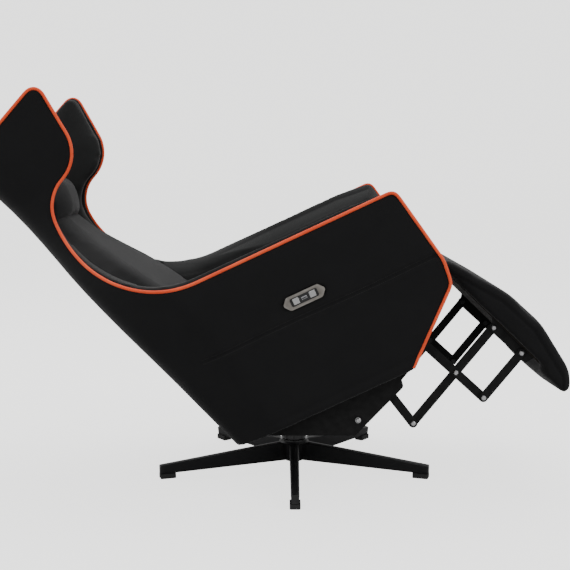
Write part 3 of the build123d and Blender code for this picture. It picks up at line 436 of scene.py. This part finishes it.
def cloth(name, dark, light, rough, threads, weave_depth, sheen, crease_depth=0.0):
    """A woven or brushed cover: two close colours, its weave, soft creases and sheen."""
    material, tree, shader, texture, tint = textured(name, weave_group, dark, light)
    texture.inputs["Threads"].default_value = threads
    contrast = map_range(tree, 0.35, 0.65, 0, 1)
    tree.links.new(texture.outputs["Mottling"], contrast.inputs["Value"])
    tree.links.new(contrast.outputs["Result"], tint.inputs["Factor"])
    spread = map_range(tree, 0.3, 0.7, *rough)
    tree.links.new(texture.outputs["Mottling"], spread.inputs["Value"])
    tree.links.new(spread.outputs["Result"], shader.inputs["Roughness"])
    fine = tree.nodes.new("ShaderNodeBump")
    fine.inputs["Strength"].default_value = 0.35
    fine.inputs["Distance"].default_value = weave_depth
    tree.links.new(texture.outputs["Weave"], fine.inputs["Height"])
    if crease_depth:
        soft = tree.nodes.new("ShaderNodeBump")
        soft.inputs["Strength"].default_value = 0.5
        soft.inputs["Distance"].default_value = crease_depth
        tree.links.new(texture.outputs["Creases"], soft.inputs["Height"])
        tree.links.new(soft.outputs["Normal"], fine.inputs["Normal"])
    tree.links.new(fine.outputs["Normal"], shader.inputs["Normal"])
    shader.inputs["Specular IOR Level"].default_value = 0.18
    shader.inputs["Sheen Weight"].default_value = sheen
    shader.inputs["Sheen Roughness"].default_value = 0.38
    return material


webbing = cloth("strap_webbing", (0.01, 0.01, 0.01), (0.03, 0.03, 0.03), (0.8, 0.9), 900, 0.0008, 0.1)
dress(webbing, "seat_straps")

plywood = bpy.data.materials.new("plywood")
plywood.use_nodes = True
ply_tree = plywood.node_tree
ply_shader = ply_tree.nodes["Principled BSDF"]
ply_place = ply_tree.nodes.new("ShaderNodeTexCoord")
ply_stretch = ply_tree.nodes.new("ShaderNodeMapping")
ply_stretch.inputs["Scale"].default_value = (1, 0.12, 1)
ply_grain = noise_node(ply_tree, 160, 5, 0.6)
ply_ramp = ply_tree.nodes.new("ShaderNodeValToRGB")
ply_ramp.color_ramp.elements[0].color = (0.30, 0.19, 0.10, 1)
ply_ramp.color_ramp.elements[1].color = (0.56, 0.40, 0.24, 1)
ply_bump = ply_tree.nodes.new("ShaderNodeBump")
ply_bump.inputs["Distance"].default_value = 0.0004
ply_tree.links.new(ply_place.outputs["Object"], ply_stretch.inputs["Vector"])
ply_tree.links.new(ply_stretch.outputs["Vector"], ply_grain.inputs["Vector"])
ply_tree.links.new(ply_grain.outputs["Fac"], ply_ramp.inputs["Fac"])
ply_tree.links.new(ply_ramp.outputs["Color"], ply_shader.inputs["Base Color"])
ply_tree.links.new(ply_grain.outputs["Fac"], ply_bump.inputs["Height"])
ply_tree.links.new(ply_bump.outputs["Normal"], ply_shader.inputs["Normal"])
ply_shader.inputs["Roughness"].default_value = 0.65
dress(plywood, "panel_blocks")
stain, stain_worn = (0.006, 0.006, 0.006), (0.02, 0.016, 0.012)
stained_board = coated("stained_board", stain, stain_worn, (0.7, 0.85), grain=260, bump=0.4, specular=0.15)
dress(stained_board, "footrest_board")

# ---------------------------------------------------------------- shell panels
# Moulded foam over a stiff shell, covered in soft black microfibre: two sides and a back, sewn together
# along sloping seams. A puckered double seam crosses each side, and the cover is turned under below.
nap_dark, nap_light = (0.0055, 0.0055, 0.006), (0.0085, 0.0085, 0.009)
cover = cloth("black_microfibre", nap_dark, nap_light, (0.72, 0.86), 1500, 0.0004, 0.14, 0.006)


def skin(node, name, voxel, smooth):
    """A finely meshed, smoothed copy of a soft solid of the frame."""
    shape = bmesh.new()
    shape.from_mesh(nodes[node].data)
    bmesh.ops.remove_doubles(shape, verts=shape.verts, dist=0.00002)
    mesh = bpy.data.meshes.new(name)
    shape.to_mesh(mesh)
    shape.free()
    mesh.materials.clear()
    piece = bpy.data.objects.new(name, mesh)
    bpy.context.collection.objects.link(piece)
    grid = piece.modifiers.new("grid", "REMESH")
    grid.mode = "VOXEL"
    grid.voxel_size = voxel
    even = piece.modifiers.new("even", "SMOOTH")
    even.factor = 0.5
    even.iterations = smooth
    graph = bpy.context.evaluated_depsgraph_get()
    fine = bpy.data.meshes.new_from_object(piece.evaluated_get(graph))
    piece.modifiers.clear()
    piece.data = fine
    fine.name = name
    return piece


def points_of(piece):
    co = np.empty(len(piece.data.vertices) * 3)
    piece.data.vertices.foreach_get("co", co)
    return co.reshape(-1, 3)


def normals_of(piece):
    normal = np.empty(len(piece.data.vertices) * 3)
    piece.data.vertices.foreach_get("normal", normal)
    return normal.reshape(-1, 3)


def reshape(piece, co):
    piece.data.vertices.foreach_set("co", co.reshape(-1))
    piece.data.update()


def upholster(piece, material, slot, *replaced):
    """Covers a finished soft piece and sets it in the frame in place of its plain solids."""
    piece.data.materials.clear()
    piece.data.materials.append(material)
    piece.data.polygons.foreach_set("use_smooth", [True] * len(piece.data.polygons))
    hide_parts(*replaced)


def groove(distance, width):
    return np.exp(-((distance / width) ** 2))


def seam_height(x):
    return 469 + 1.2 * np.sin(x / 61)


def side_details(piece, sign):
    """Presses the double seam, its puckers and the turned-under hem into a side panel."""
    co, normal = points_of(piece), normals_of(piece)
    x, y, z = seat_directions(co)
    outside = np.clip(normal[:, 1] * sign, 0, 1) ** 0.5
    over_seam = z - seam_height(x)
    fade = np.clip((x + 117) / 30, 0, 1)
    pucker = 0.5 + 0.5 * np.sin(x / 7.3 + 1.3 * np.sin(x / 23)) * np.sin(x / 17.9 + 0.6)
    seam = groove(over_seam, 4.8) * 3.6 - groove(over_seam - 9, 5.5) * 1.5 * pucker
    seam = seam - groove(over_seam + 9, 5.5) * 1.3 * pucker
    ripple = groove(over_seam, 22) * 0.45 * np.sin(x / 11.0 + z / 31.0) * pucker
    hem = groove(z - 272 - 0.02 * x, 5) * 1.6 - groove(z - 262, 7) * 1.2
    hem = hem * np.clip((x + 60) / 80, 0, 1)
    wide = 1.2 * np.sin(x / 71 + z / 97) * np.sin(z / 83 - x / 140 + 0.8) + 0.7 * np.sin(x / 39 - z / 57)
    depth = (seam + ripple) * fade + hem - 0.55 * wide
    reshape(piece, co - normal * (depth * outside)[:, None] / 1000)


panel_voxel, panel_smooth = 0.005, 9
panel_skins = {}
for side, sign in sides:
    panel = skin(f"side_panel_{side}", f"side_cover_{side}", panel_voxel, panel_smooth)
    side_details(panel, sign)
    upholster(panel, cover, "near_fabric", f"side_panel_{side}")
    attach(panel, "seat")
    panel_skins[side] = panel

back_cover = skin("back_panel", "back_cover", 0.006, panel_smooth)
upholster(back_cover, cover, "near_fabric", "back_panel")
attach(back_cover, "seat")

# ---------------------------------------------------------------- seam stitching
# Black thread, a little glossier than the cover, in two rows of short stitches beside the double seam on each
# side.
# The thread's colour is painted lighter than the cover's: a painted highlight along the stitches.
thread = cloth("black_thread_painted_highlight", (0.024, 0.024, 0.024), (0.04, 0.04, 0.04), (0.5, 0.6), 3000, 0.0002, 0.1)
stitch_tree, stitch_in, stitch_out = growing_tree(
    "stitch_row", [("Pitch", 0.0045), ("Length", 0.0034), ("Thread", 0.00045)]
)
to_line = stitch_tree.nodes.new("GeometryNodeMeshToCurve")
to_points = stitch_tree.nodes.new("GeometryNodeCurveToPoints")
to_points.mode = "LENGTH"
bead = stitch_tree.nodes.new("GeometryNodeMeshUVSphere")
bead.inputs["Segments"].default_value = 6
bead.inputs["Rings"].default_value = 4
bead.inputs["Radius"].default_value = 1.0
half = multiplier(stitch_tree, 0.5)
bead_size = stitch_tree.nodes.new("ShaderNodeCombineXYZ")
sew_on = stitch_tree.nodes.new("GeometryNodeInstanceOnPoints")
sewn = stitch_tree.nodes.new("GeometryNodeRealizeInstances")
dye = stitch_tree.nodes.new("GeometryNodeSetMaterial")
links = stitch_tree.links
links.new(stitch_in.outputs["Geometry"], to_line.inputs["Mesh"])
links.new(to_line.outputs["Curve"], to_points.inputs["Curve"])
links.new(stitch_in.outputs["Pitch"], to_points.inputs["Length"])
links.new(stitch_in.outputs["Length"], half.inputs[0])
links.new(stitch_in.outputs["Thread"], bead_size.inputs["X"])
links.new(stitch_in.outputs["Thread"], bead_size.inputs["Y"])
links.new(half.outputs["Value"], bead_size.inputs["Z"])
links.new(to_points.outputs["Points"], sew_on.inputs["Points"])
links.new(to_points.outputs["Rotation"], sew_on.inputs["Rotation"])
links.new(bead.outputs["Mesh"], sew_on.inputs["Instance"])
links.new(bead_size.outputs["Vector"], sew_on.inputs["Scale"])
links.new(sew_on.outputs["Instances"], sewn.inputs["Geometry"])
links.new(sewn.outputs["Geometry"], dye.inputs["Geometry"])
links.new(stitch_in.outputs["Material"], dye.inputs["Material"])
links.new(dye.outputs["Geometry"], stitch_out.inputs["Geometry"])


def surface_of(piece):
    return BVHTree.FromPolygons(
        [vertex.co for vertex in piece.data.vertices], [face.vertices for face in piece.data.polygons]
    )


def laid(surface, starts, aim, proud=0.0003):
    """Points where rays meet a surface, held a little proud of it."""
    found = []
    for start in starts:
        hit = surface.ray_cast(start, aim)
        if hit[0] is not None:
            found.append(hit[0] - Vector(aim).normalized() * proud)
    return found


def sew(name, points, body):
    chain = [(index, index + 1) for index in range(len(points) - 1)]
    return grown(name, stitch_tree, points, chain, {}, thread, body)


clear_y = 420  # beyond the chair's widest place, in millimetres
seam_rear, seam_front, seam_step = -112, 458, 6.0
for side, sign in sides:
    surface = surface_of(panel_skins[side])
    for row, shift in (("upper", 4.5), ("lower", -4.5)):
        along_seam = np.arange(seam_rear, seam_front, seam_step)
        starts = [seat_place(x, sign * clear_y, seam_height(x) + shift) for x in along_seam]
        sew(f"side_seam_{row}_{side}", laid(surface, starts, (0, -sign, 0)), "seat")

# ---------------------------------------------------------------- piping
# An orange-red piping cord is sewn into the panels' open edge. It runs up both arms, over the hollows
# and the wings and across the top of the back.
arm_height, neck_x, neck_z = 639.0, -295.0, 892.0
wing_top = (-191.0, 1200.0)
wing_fall = radians(23.3)
bend = neck_z - arm_height
line_pitch = 9  # between the points of the open edge's line
cord_seat = 2.0  # how far out the cord's middle lies from the panel's face


def rounded(corners, radii, pitch):
    """A run of straight pieces with round corners, as points a pitch apart."""
    line = [np.array(corners[0], float)]
    for index in range(1, len(corners) - 1):
        corner = np.array(corners[index], float)
        back = np.array(corners[index - 1], float) - corner
        ahead = np.array(corners[index + 1], float) - corner
        back, ahead = back / np.linalg.norm(back), ahead / np.linalg.norm(ahead)
        half_angle = np.arccos(np.clip(back @ ahead, -1, 1)) / 2
        leg = radii[index - 1] / np.tan(half_angle)
        bisector = (back + ahead) / np.linalg.norm(back + ahead)
        middle = corner + bisector * radii[index - 1] / np.sin(half_angle)
        first, last = corner + back * leg - middle, corner + ahead * leg - middle
        sweep = np.arccos(np.clip(first @ last / (first @ first), -1, 1))
        for step in np.linspace(0, 1, 9):
            mix = (np.sin((1 - step) * sweep) * first + np.sin(step * sweep) * last) / np.sin(sweep)
            line.append(middle + mix)
    line.append(np.array(corners[-1], float))
    return even_points(line, pitch)


def even_points(line, pitch):
    line = np.array(line)
    lengths = np.concatenate([[0], np.cumsum(np.linalg.norm(np.diff(line, axis=0), axis=1))])
    count = max(int(lengths[-1] / pitch), 2)
    where = np.linspace(0, lengths[-1], count)
    return np.stack([np.interp(where, lengths, line[:, axis]) for axis in range(line.shape[1])], 1)


front_run = rounded(
    [(313.0, 256.0), (467.0, 396.0), (472.0, 452.0), (435.0, arm_height), (neck_x + bend, arm_height)],
    [30, 60, 14],
    line_pitch,
)
hollow = [
    (neck_x + bend - bend * sin(angle), arm_height + bend - bend * cos(angle))
    for angle in np.linspace(0, pi / 2, 40)
]
shoulder = (-180.0, 1062.0)
run, climb = shoulder[0] - neck_x, shoulder[1] - neck_z
turn_angle = 2 * atan2(run, climb)
arc_radius = climb / (2 * sin(turn_angle))
rise = [
    (neck_x + arc_radius * (1 - cos(angle)), neck_z + arc_radius * sin(angle))
    for angle in np.linspace(0, turn_angle, 14)
]
rise += [
    (shoulder[0] - arc_radius * (1 - cos(angle)), shoulder[1] - arc_radius * sin(angle))
    for angle in np.linspace(turn_angle, 0, 14)[1:]
]
tip = rounded([shoulder, wing_top, (-262.0, wing_top[1] - 71 * np.tan(wing_fall))], [22], line_pitch)
side_line = even_points([*front_run, *hollow[1:], *rise[1:], *tip[1:]], line_pitch)

# where the open edge meets the outer face of the panels
outer_faces = {side: surface_of(nodes[f"side_panel_{side}"]) for side, _ in sides}
back_face = surface_of(nodes["back_panel"])
right_edge = []
for index, (x, z) in enumerate(side_line):
    before, after = side_line[max(index - 1, 0)], side_line[min(index + 1, len(side_line) - 1)]
    along = (after - before) / np.linalg.norm(after - before)
    inside = np.array((-along[1], along[0])) * 3.0
    hit = outer_faces["right"].ray_cast(seat_place(x + inside[0], -clear_y, z + inside[1]), (0, 1, 0))
    if hit[0] is None:
        hit = outer_faces["right"].ray_cast(seat_place(x - inside[0], -clear_y, z - inside[1]), (0, 1, 0))
    if hit[0] is not None:
        right_edge.append((x, hit[0][1] * 1000 + cord_seat, z))

# rays from all round the back, towards a hub between the wings, find the line across the top
over_top = []
hub = (-225.0, wing_top[1] - 34 * np.tan(wing_fall) - 3.0)
goal = seat_place(hub[0], 0, hub[1])
for angle in np.linspace(radians(100), radians(260), 61):
    reach_x, reach_y = clear_y * cos(angle), -clear_y * sin(angle)
    start = seat_place(hub[0] + reach_x, reach_y, hub[1] + reach_x * np.tan(wing_fall))
    hits = [
        found
        for surface in (*outer_faces.values(), back_face)
        for found in [surface.ray_cast(start, goal - start)]
        if found[0] is not None
    ]
    if hits:
        nearest = min(hits, key=lambda found: found[3])[0]
        over_top.append(nearest + (goal - start).normalized() * cord_seat / 1000)
right_edge = np.array(right_edge)
for _ in range(6):
    right_edge[1:-1, 1] = (right_edge[:-2, 1] + 2 * right_edge[1:-1, 1] + right_edge[2:, 1]) / 4
right_run = [seat_place(x, y, z) for x, y, z in right_edge]
right_run = [point for point in right_run if (point - over_top[0]).length > 0.012]
left_run = [Vector((point.x, -point.y, point.z)) for point in reversed(right_run)]
up = seat_place(0, 0, 3) - seat_place(0, 0, 0)
piping_line = [*right_run, *[point + up for point in over_top], *left_run]
piping_line = even_points([tuple(point) for point in piping_line], 0.008)

piping_tree, piping_in, piping_out = growing_tree("piping_cord", [("Radius", 0.00375)])
cord_line = piping_tree.nodes.new("GeometryNodeMeshToCurve")
cord_smooth = piping_tree.nodes.new("GeometryNodeCurveSplineType")
cord_smooth.spline_type = "CATMULL_ROM"
cord_fine = piping_tree.nodes.new("GeometryNodeResampleCurve")
cord_fine.mode = "LENGTH"
cord_fine.inputs["Length"].default_value = 0.004
cord_round = piping_tree.nodes.new("GeometryNodeCurvePrimitiveCircle")
cord_round.inputs["Resolution"].default_value = 14
cord_tube = piping_tree.nodes.new("GeometryNodeCurveToMesh")
cord_tube.inputs["Fill Caps"].default_value = True
cord_shade = piping_tree.nodes.new("GeometryNodeSetShadeSmooth")
cord_dye = piping_tree.nodes.new("GeometryNodeSetMaterial")
cord_real = piping_tree.nodes.new("GeometryNodeRealizeInstances")
links = piping_tree.links
links.new(piping_in.outputs["Geometry"], cord_line.inputs["Mesh"])
links.new(cord_line.outputs["Curve"], cord_smooth.inputs["Curve"])
links.new(cord_smooth.outputs["Curve"], cord_fine.inputs["Curve"])
links.new(piping_in.outputs["Radius"], cord_round.inputs["Radius"])
links.new(cord_fine.outputs["Curve"], cord_tube.inputs["Curve"])
links.new(cord_round.outputs["Curve"], cord_tube.inputs["Profile Curve"])
links.new(cord_tube.outputs["Mesh"], cord_shade.inputs["Geometry"])
links.new(cord_shade.outputs["Geometry"], cord_real.inputs["Geometry"])
links.new(cord_real.outputs["Geometry"], cord_dye.inputs["Geometry"])
links.new(piping_in.outputs["Material"], cord_dye.inputs["Material"])
links.new(cord_dye.outputs["Geometry"], piping_out.inputs["Geometry"])

orange = cloth("orange_piping", (0.86, 0.082, 0.024), (1.0, 0.125, 0.04), (0.5, 0.62), 2600, 0.0003, 0.12)
chain = [(index, index + 1) for index in range(len(piping_line) - 1)]
piping = grown("orange_piping", piping_tree, piping_line, chain, {}, orange, "seat")
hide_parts("shell_piping")

# ---------------------------------------------------------------- stuffed pads
# Foam pads in the same cover; on the arm linings its colour is painted lighter, as painted overhead light.
# Each one starts a little small, is blown up against its seams and is held to the room that it has in the
# chair.


last_frame = 20


def stuffed(node, name, voxel, shrink, cap, pressure, smooth=6):
    """A pad grown from its solid: inset, inflated as cloth, capped and smoothed."""
    piece = skin(node, name, voxel, smooth)
    start = points_of(piece) - normals_of(piece) * shrink
    reshape(piece, start)
    sim = piece.modifiers.new("inflate", "CLOTH")
    sim.settings.quality = 3
    sim.settings.mass = 0.25
    sim.settings.tension_stiffness = 12
    sim.settings.compression_stiffness = 12
    sim.settings.bending_stiffness = 3
    sim.settings.use_pressure = True
    sim.settings.uniform_pressure_force = pressure
    sim.settings.effector_weights.gravity = 0
    sim.point_cache.frame_start, sim.point_cache.frame_end = 1, last_frame
    for step in range(1, last_frame + 1):
        bpy.context.scene.frame_set(step)
    graph = bpy.context.evaluated_depsgraph_get()
    blown = bpy.data.meshes.new_from_object(piece.evaluated_get(graph))
    piece.modifiers.clear()
    bpy.context.scene.frame_set(1)
    swollen = np.empty(len(blown.vertices) * 3)
    blown.vertices.foreach_get("co", swollen)
    move = swollen.reshape(-1, 3) - start
    size = np.linalg.norm(move, axis=1)
    move *= np.minimum(1, cap / np.maximum(size, 1e-9))[:, None]
    reshape(piece, start + move)
    bpy.data.meshes.remove(blown)
    even = piece.modifiers.new("even", "SMOOTH")
    even.factor = 0.5
    even.iterations = 4
    finer = piece.modifiers.new("finer", "SUBSURF")
    finer.levels = finer.render_levels = 1
    graph = bpy.context.evaluated_depsgraph_get()
    calm = bpy.data.meshes.new_from_object(piece.evaluated_get(graph))
    piece.modifiers.clear()
    piece.data = calm
    calm.name = name
    return piece


# The cover's own microfibre with its colour painted lighter: painted light from the overhead softbox that the
# inner faces of the arms and wings catch.
lining = cloth(
    "lit_black_microfibre", (0.0135, 0.014, 0.014), (0.020, 0.0205, 0.0205), (0.72, 0.86), 1500, 0.0004, 0.12, 0.005
)


crown_swell, tuck_gap, puff_depth = 11, 0.5, 3  # millimetres


def roll_over(piece, side, sign):
    """Rounds a lining's face over to the piping, as padding pulled down to a seam."""
    co = points_of(piece)
    x, y, z = seat_directions(co)
    place = np.stack([x, z], 1)
    along = np.gradient(side_line, axis=0)
    along /= np.linalg.norm(along, axis=1)[:, None]
    # the crown stands over the piping along the arm and the hollow, and meets it at both ends
    swell = np.clip((870 - side_line[:, 1]) / 120, 0, 1) * (side_line[:, 1] > 600)
    swell = swell * np.clip((430 - side_line[:, 0]) / 100, 0, 1)
    crown = side_line + crown_swell * swell[:, None] * np.stack([along[:, 1], -along[:, 0]], 1)
    crown = np.vstack([crown, crown[-1] + 60 * (crown[-1] - crown[-2])])
    swell = np.append(swell, 0)
    gap = np.full(len(x), 1e9)
    inward = np.zeros((len(x), 2))
    puff = np.zeros(len(x))
    for start, end, here in zip(crown[:-1], crown[1:], swell):
        span = end - start
        share = np.clip(((place - start) @ span) / (span @ span), 0, 1)
        away = place - (start + share[:, None] * span)
        distance = np.linalg.norm(away, axis=1)
        nearer = distance < np.abs(gap)
        inside = np.array((-span[1], span[0])) / np.linalg.norm(span)
        gap[nearer] = (distance * np.where(away @ inside < 0, -1, 1))[nearer]
        inward[nearer] = inside
        puff[nearer] = here
    # what crosses the edge goes back behind it, and what lies just inside it puffs up
    near_edge = np.clip((gap - tuck_gap) / 6, 0, 1) * np.clip(1 - gap / 60, 0, 1)
    tuck = np.clip(tuck_gap - gap, 0, 30) - puff_depth * puff * near_edge
    x, z, gap = x + inward[:, 0] * tuck, z + inward[:, 1] * tuck, gap + tuck
    place = np.stack([x, z], 1)
    # width of the round over to the edge, by height: wide on the arm and hollow, narrow on the wing
    roll = np.interp(z, [560, 640, 800, 900], [34, 40, 40, 14])
    surface = surface_of(nodes[f"arm_pad_{side}"])
    for index in np.nonzero((gap < roll) & (z > 400))[0]:
        px, pz = place[index] + inward[index] * max(4 - gap[index], 0)
        outer = surface.ray_cast(seat_place(px, sign * clear_y, pz), (0, -sign, 0))[0]
        inner = surface.ray_cast(seat_place(px, 0, pz), (0, sign, 0))[0]
        if outer is None or inner is None:
            continue
        thick = abs(outer.y - inner.y) * 1000
        depth = abs(outer.y) * 1000 - y[index] * sign
        spare = roll[index] - gap[index]
        reach = np.hypot(spare / roll[index], depth / max(thick, 1))
        if reach > 1 and depth > 0:
            back = 1 - 1 / reach
            x[index] += inward[index, 0] * spare * back
            z[index] += inward[index, 1] * spare * back
            y[index] += sign * depth * back
    reshape(piece, np.array([seat_place(*point) for point in zip(x, y, z)]))


for side, sign in sides:
    pad = stuffed(f"arm_pad_{side}", f"arm_lining_{side}", 0.008, 0.001, 0.003, 1.5, smooth=6)
    roll_over(pad, side, sign)
    upholster(pad, lining, "near_fabric", f"arm_pad_{side}")
    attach(pad, "seat")

# ---------------------------------------------------------------- footrest pad
# A thick pad with rolled ends on the stained board, with a seam along its sides under the top panel.
footrest_pad = stuffed("footrest_cushion", "footrest_pad", 0.007, 0.001, 0.004, 1.2, smooth=8)
board_slope = radians(-69)
co, normal = points_of(footrest_pad), normals_of(footrest_pad)
x, y, z = seat_directions(co)
along = (x - upper_pivot[0]) * cos(board_slope) + (z - upper_pivot[1]) * sin(board_slope)
above = (z - upper_pivot[1]) * cos(board_slope) - (x - upper_pivot[0]) * sin(board_slope)
welt = np.interp(along, [-196, -34, 68, 190, 223], [34, 77, 80, 50, 19]) - 21
sideways = np.abs(normal[:, 1]) ** 2
depth = (groove(above - welt, 3.0) * 2.4 - groove(above - welt - 7, 5) * 0.8) * sideways
reshape(footrest_pad, co - normal * depth[:, None] / 1000)
upholster(footrest_pad, cover, "near_fabric", "footrest_cushion")
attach(footrest_pad, "footrest")

# ---------------------------------------------------------------- seat cushion
# A deep foam cushion between the arms, crowned in the middle and rounded over the front rail.
seat_cushion = stuffed("seat_cushion", "seat_pad", 0.007, 0.008, 0.018, 4.0)
upholster(seat_cushion, cover, "near_fabric", "seat_cushion")
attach(seat_cushion, "seat")

# ---------------------------------------------------------------- back cushion
# A tall cushion that follows the sitter's back up to the head. Its front is pulled back into the seams
# beside the linings, and its sides press into them.
back_cushion = stuffed("back_cushion", "back_pad", 0.008, 0.003, 0.010, 4.0)
co = points_of(back_cushion)
x, y, z = seat_directions(co)
half_width = np.interp(z, [430, 620, 735, 850, 950, 1060, 1215], [269, 274, 254, 184, 159, 175, 185])
front_x = np.interp(z, [486, 665, 840, 980, 1112], [-97, -160, -272, -334, -386])
fall, fall_width, fall_depth = 58, 120, 130  # how far the front falls back beside the linings
press, press_width = 18, 40  # how far the sides press into them
to_side = np.clip((np.abs(y) - half_width + fall_width) / fall_width, 0, 1) ** 2
x -= fall * to_side * np.clip(1 - (front_x - x) / fall_depth, 0, 1)
y += np.sign(y) * press * np.clip((np.abs(y) - half_width + press_width) / press_width, 0, 1)
reshape(back_cushion, np.array([seat_place(*point) for point in zip(x, y, z)]))
upholster(back_cushion, cover, "near_fabric", "back_cushion")
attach(back_cushion, "seat")

# ---------------------------------------------------------------- headrest pillow
# A small loose-filled pillow fixed against the back cushion between the wings. It sits a little back
# from its solid, and its ends taper away.
pillow = stuffed("headrest_pillow", "headrest", 0.004, 0.003, 0.008, 3.0)
x, y, z = seat_directions(points_of(pillow))
x -= 9 + 34 * np.clip((np.abs(y) - 40) / 95, 0, 1) ** 1.6 * np.clip((x + 345) / 60, 0, 1)
reshape(pillow, np.array([seat_place(*point) for point in zip(x, y, z)]))
upholster(pillow, cover, "near_fabric", "headrest_pillow")
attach(pillow, "seat")

# ---------------------------------------------------------------- switch panel
# A long cast bezel with a satin taupe finish holds two square silver buttons that work the recline, and
# a charging port between them.
bezel_paint = coated(
    "taupe_bezel", (0.13, 0.115, 0.10), (0.4, 0.38, 0.35), (0.36, 0.5), metal=0.4, grain=1500
)
dress(bezel_paint, "switch_bezel")
recess_black = coated("recess_black", (0.012, 0.012, 0.012), (0.03, 0.03, 0.03), (0.45, 0.6), grain=900)
recess_x, recess_z, recess_half_length, recess_half_height, bezel_face_y = 158, 508.5, 33.5, 9.8, -342.5
bezel = nodes["switch_bezel"].data
bezel.materials.append(recess_black)
for face in bezel.polygons:
    x, y, z = (float(value[0]) for value in seat_directions(np.array([face.center])))
    in_length, in_height = abs(x - recess_x) < recess_half_length, abs(z - recess_z) < recess_half_height
    if in_length and in_height and y > bezel_face_y:
        face.material_index = 1
button_silver = coated("button_silver", (0.6, 0.6, 0.6), (0.8, 0.8, 0.8), (0.25, 0.35), metal=1.0, grain=1200)
dress(button_silver, "button_open", "button_close")
port_steel = coated("port_steel", (0.5, 0.5, 0.52), (0.7, 0.7, 0.7), (0.3, 0.4), metal=1.0)
dress(port_steel, "charge_port")
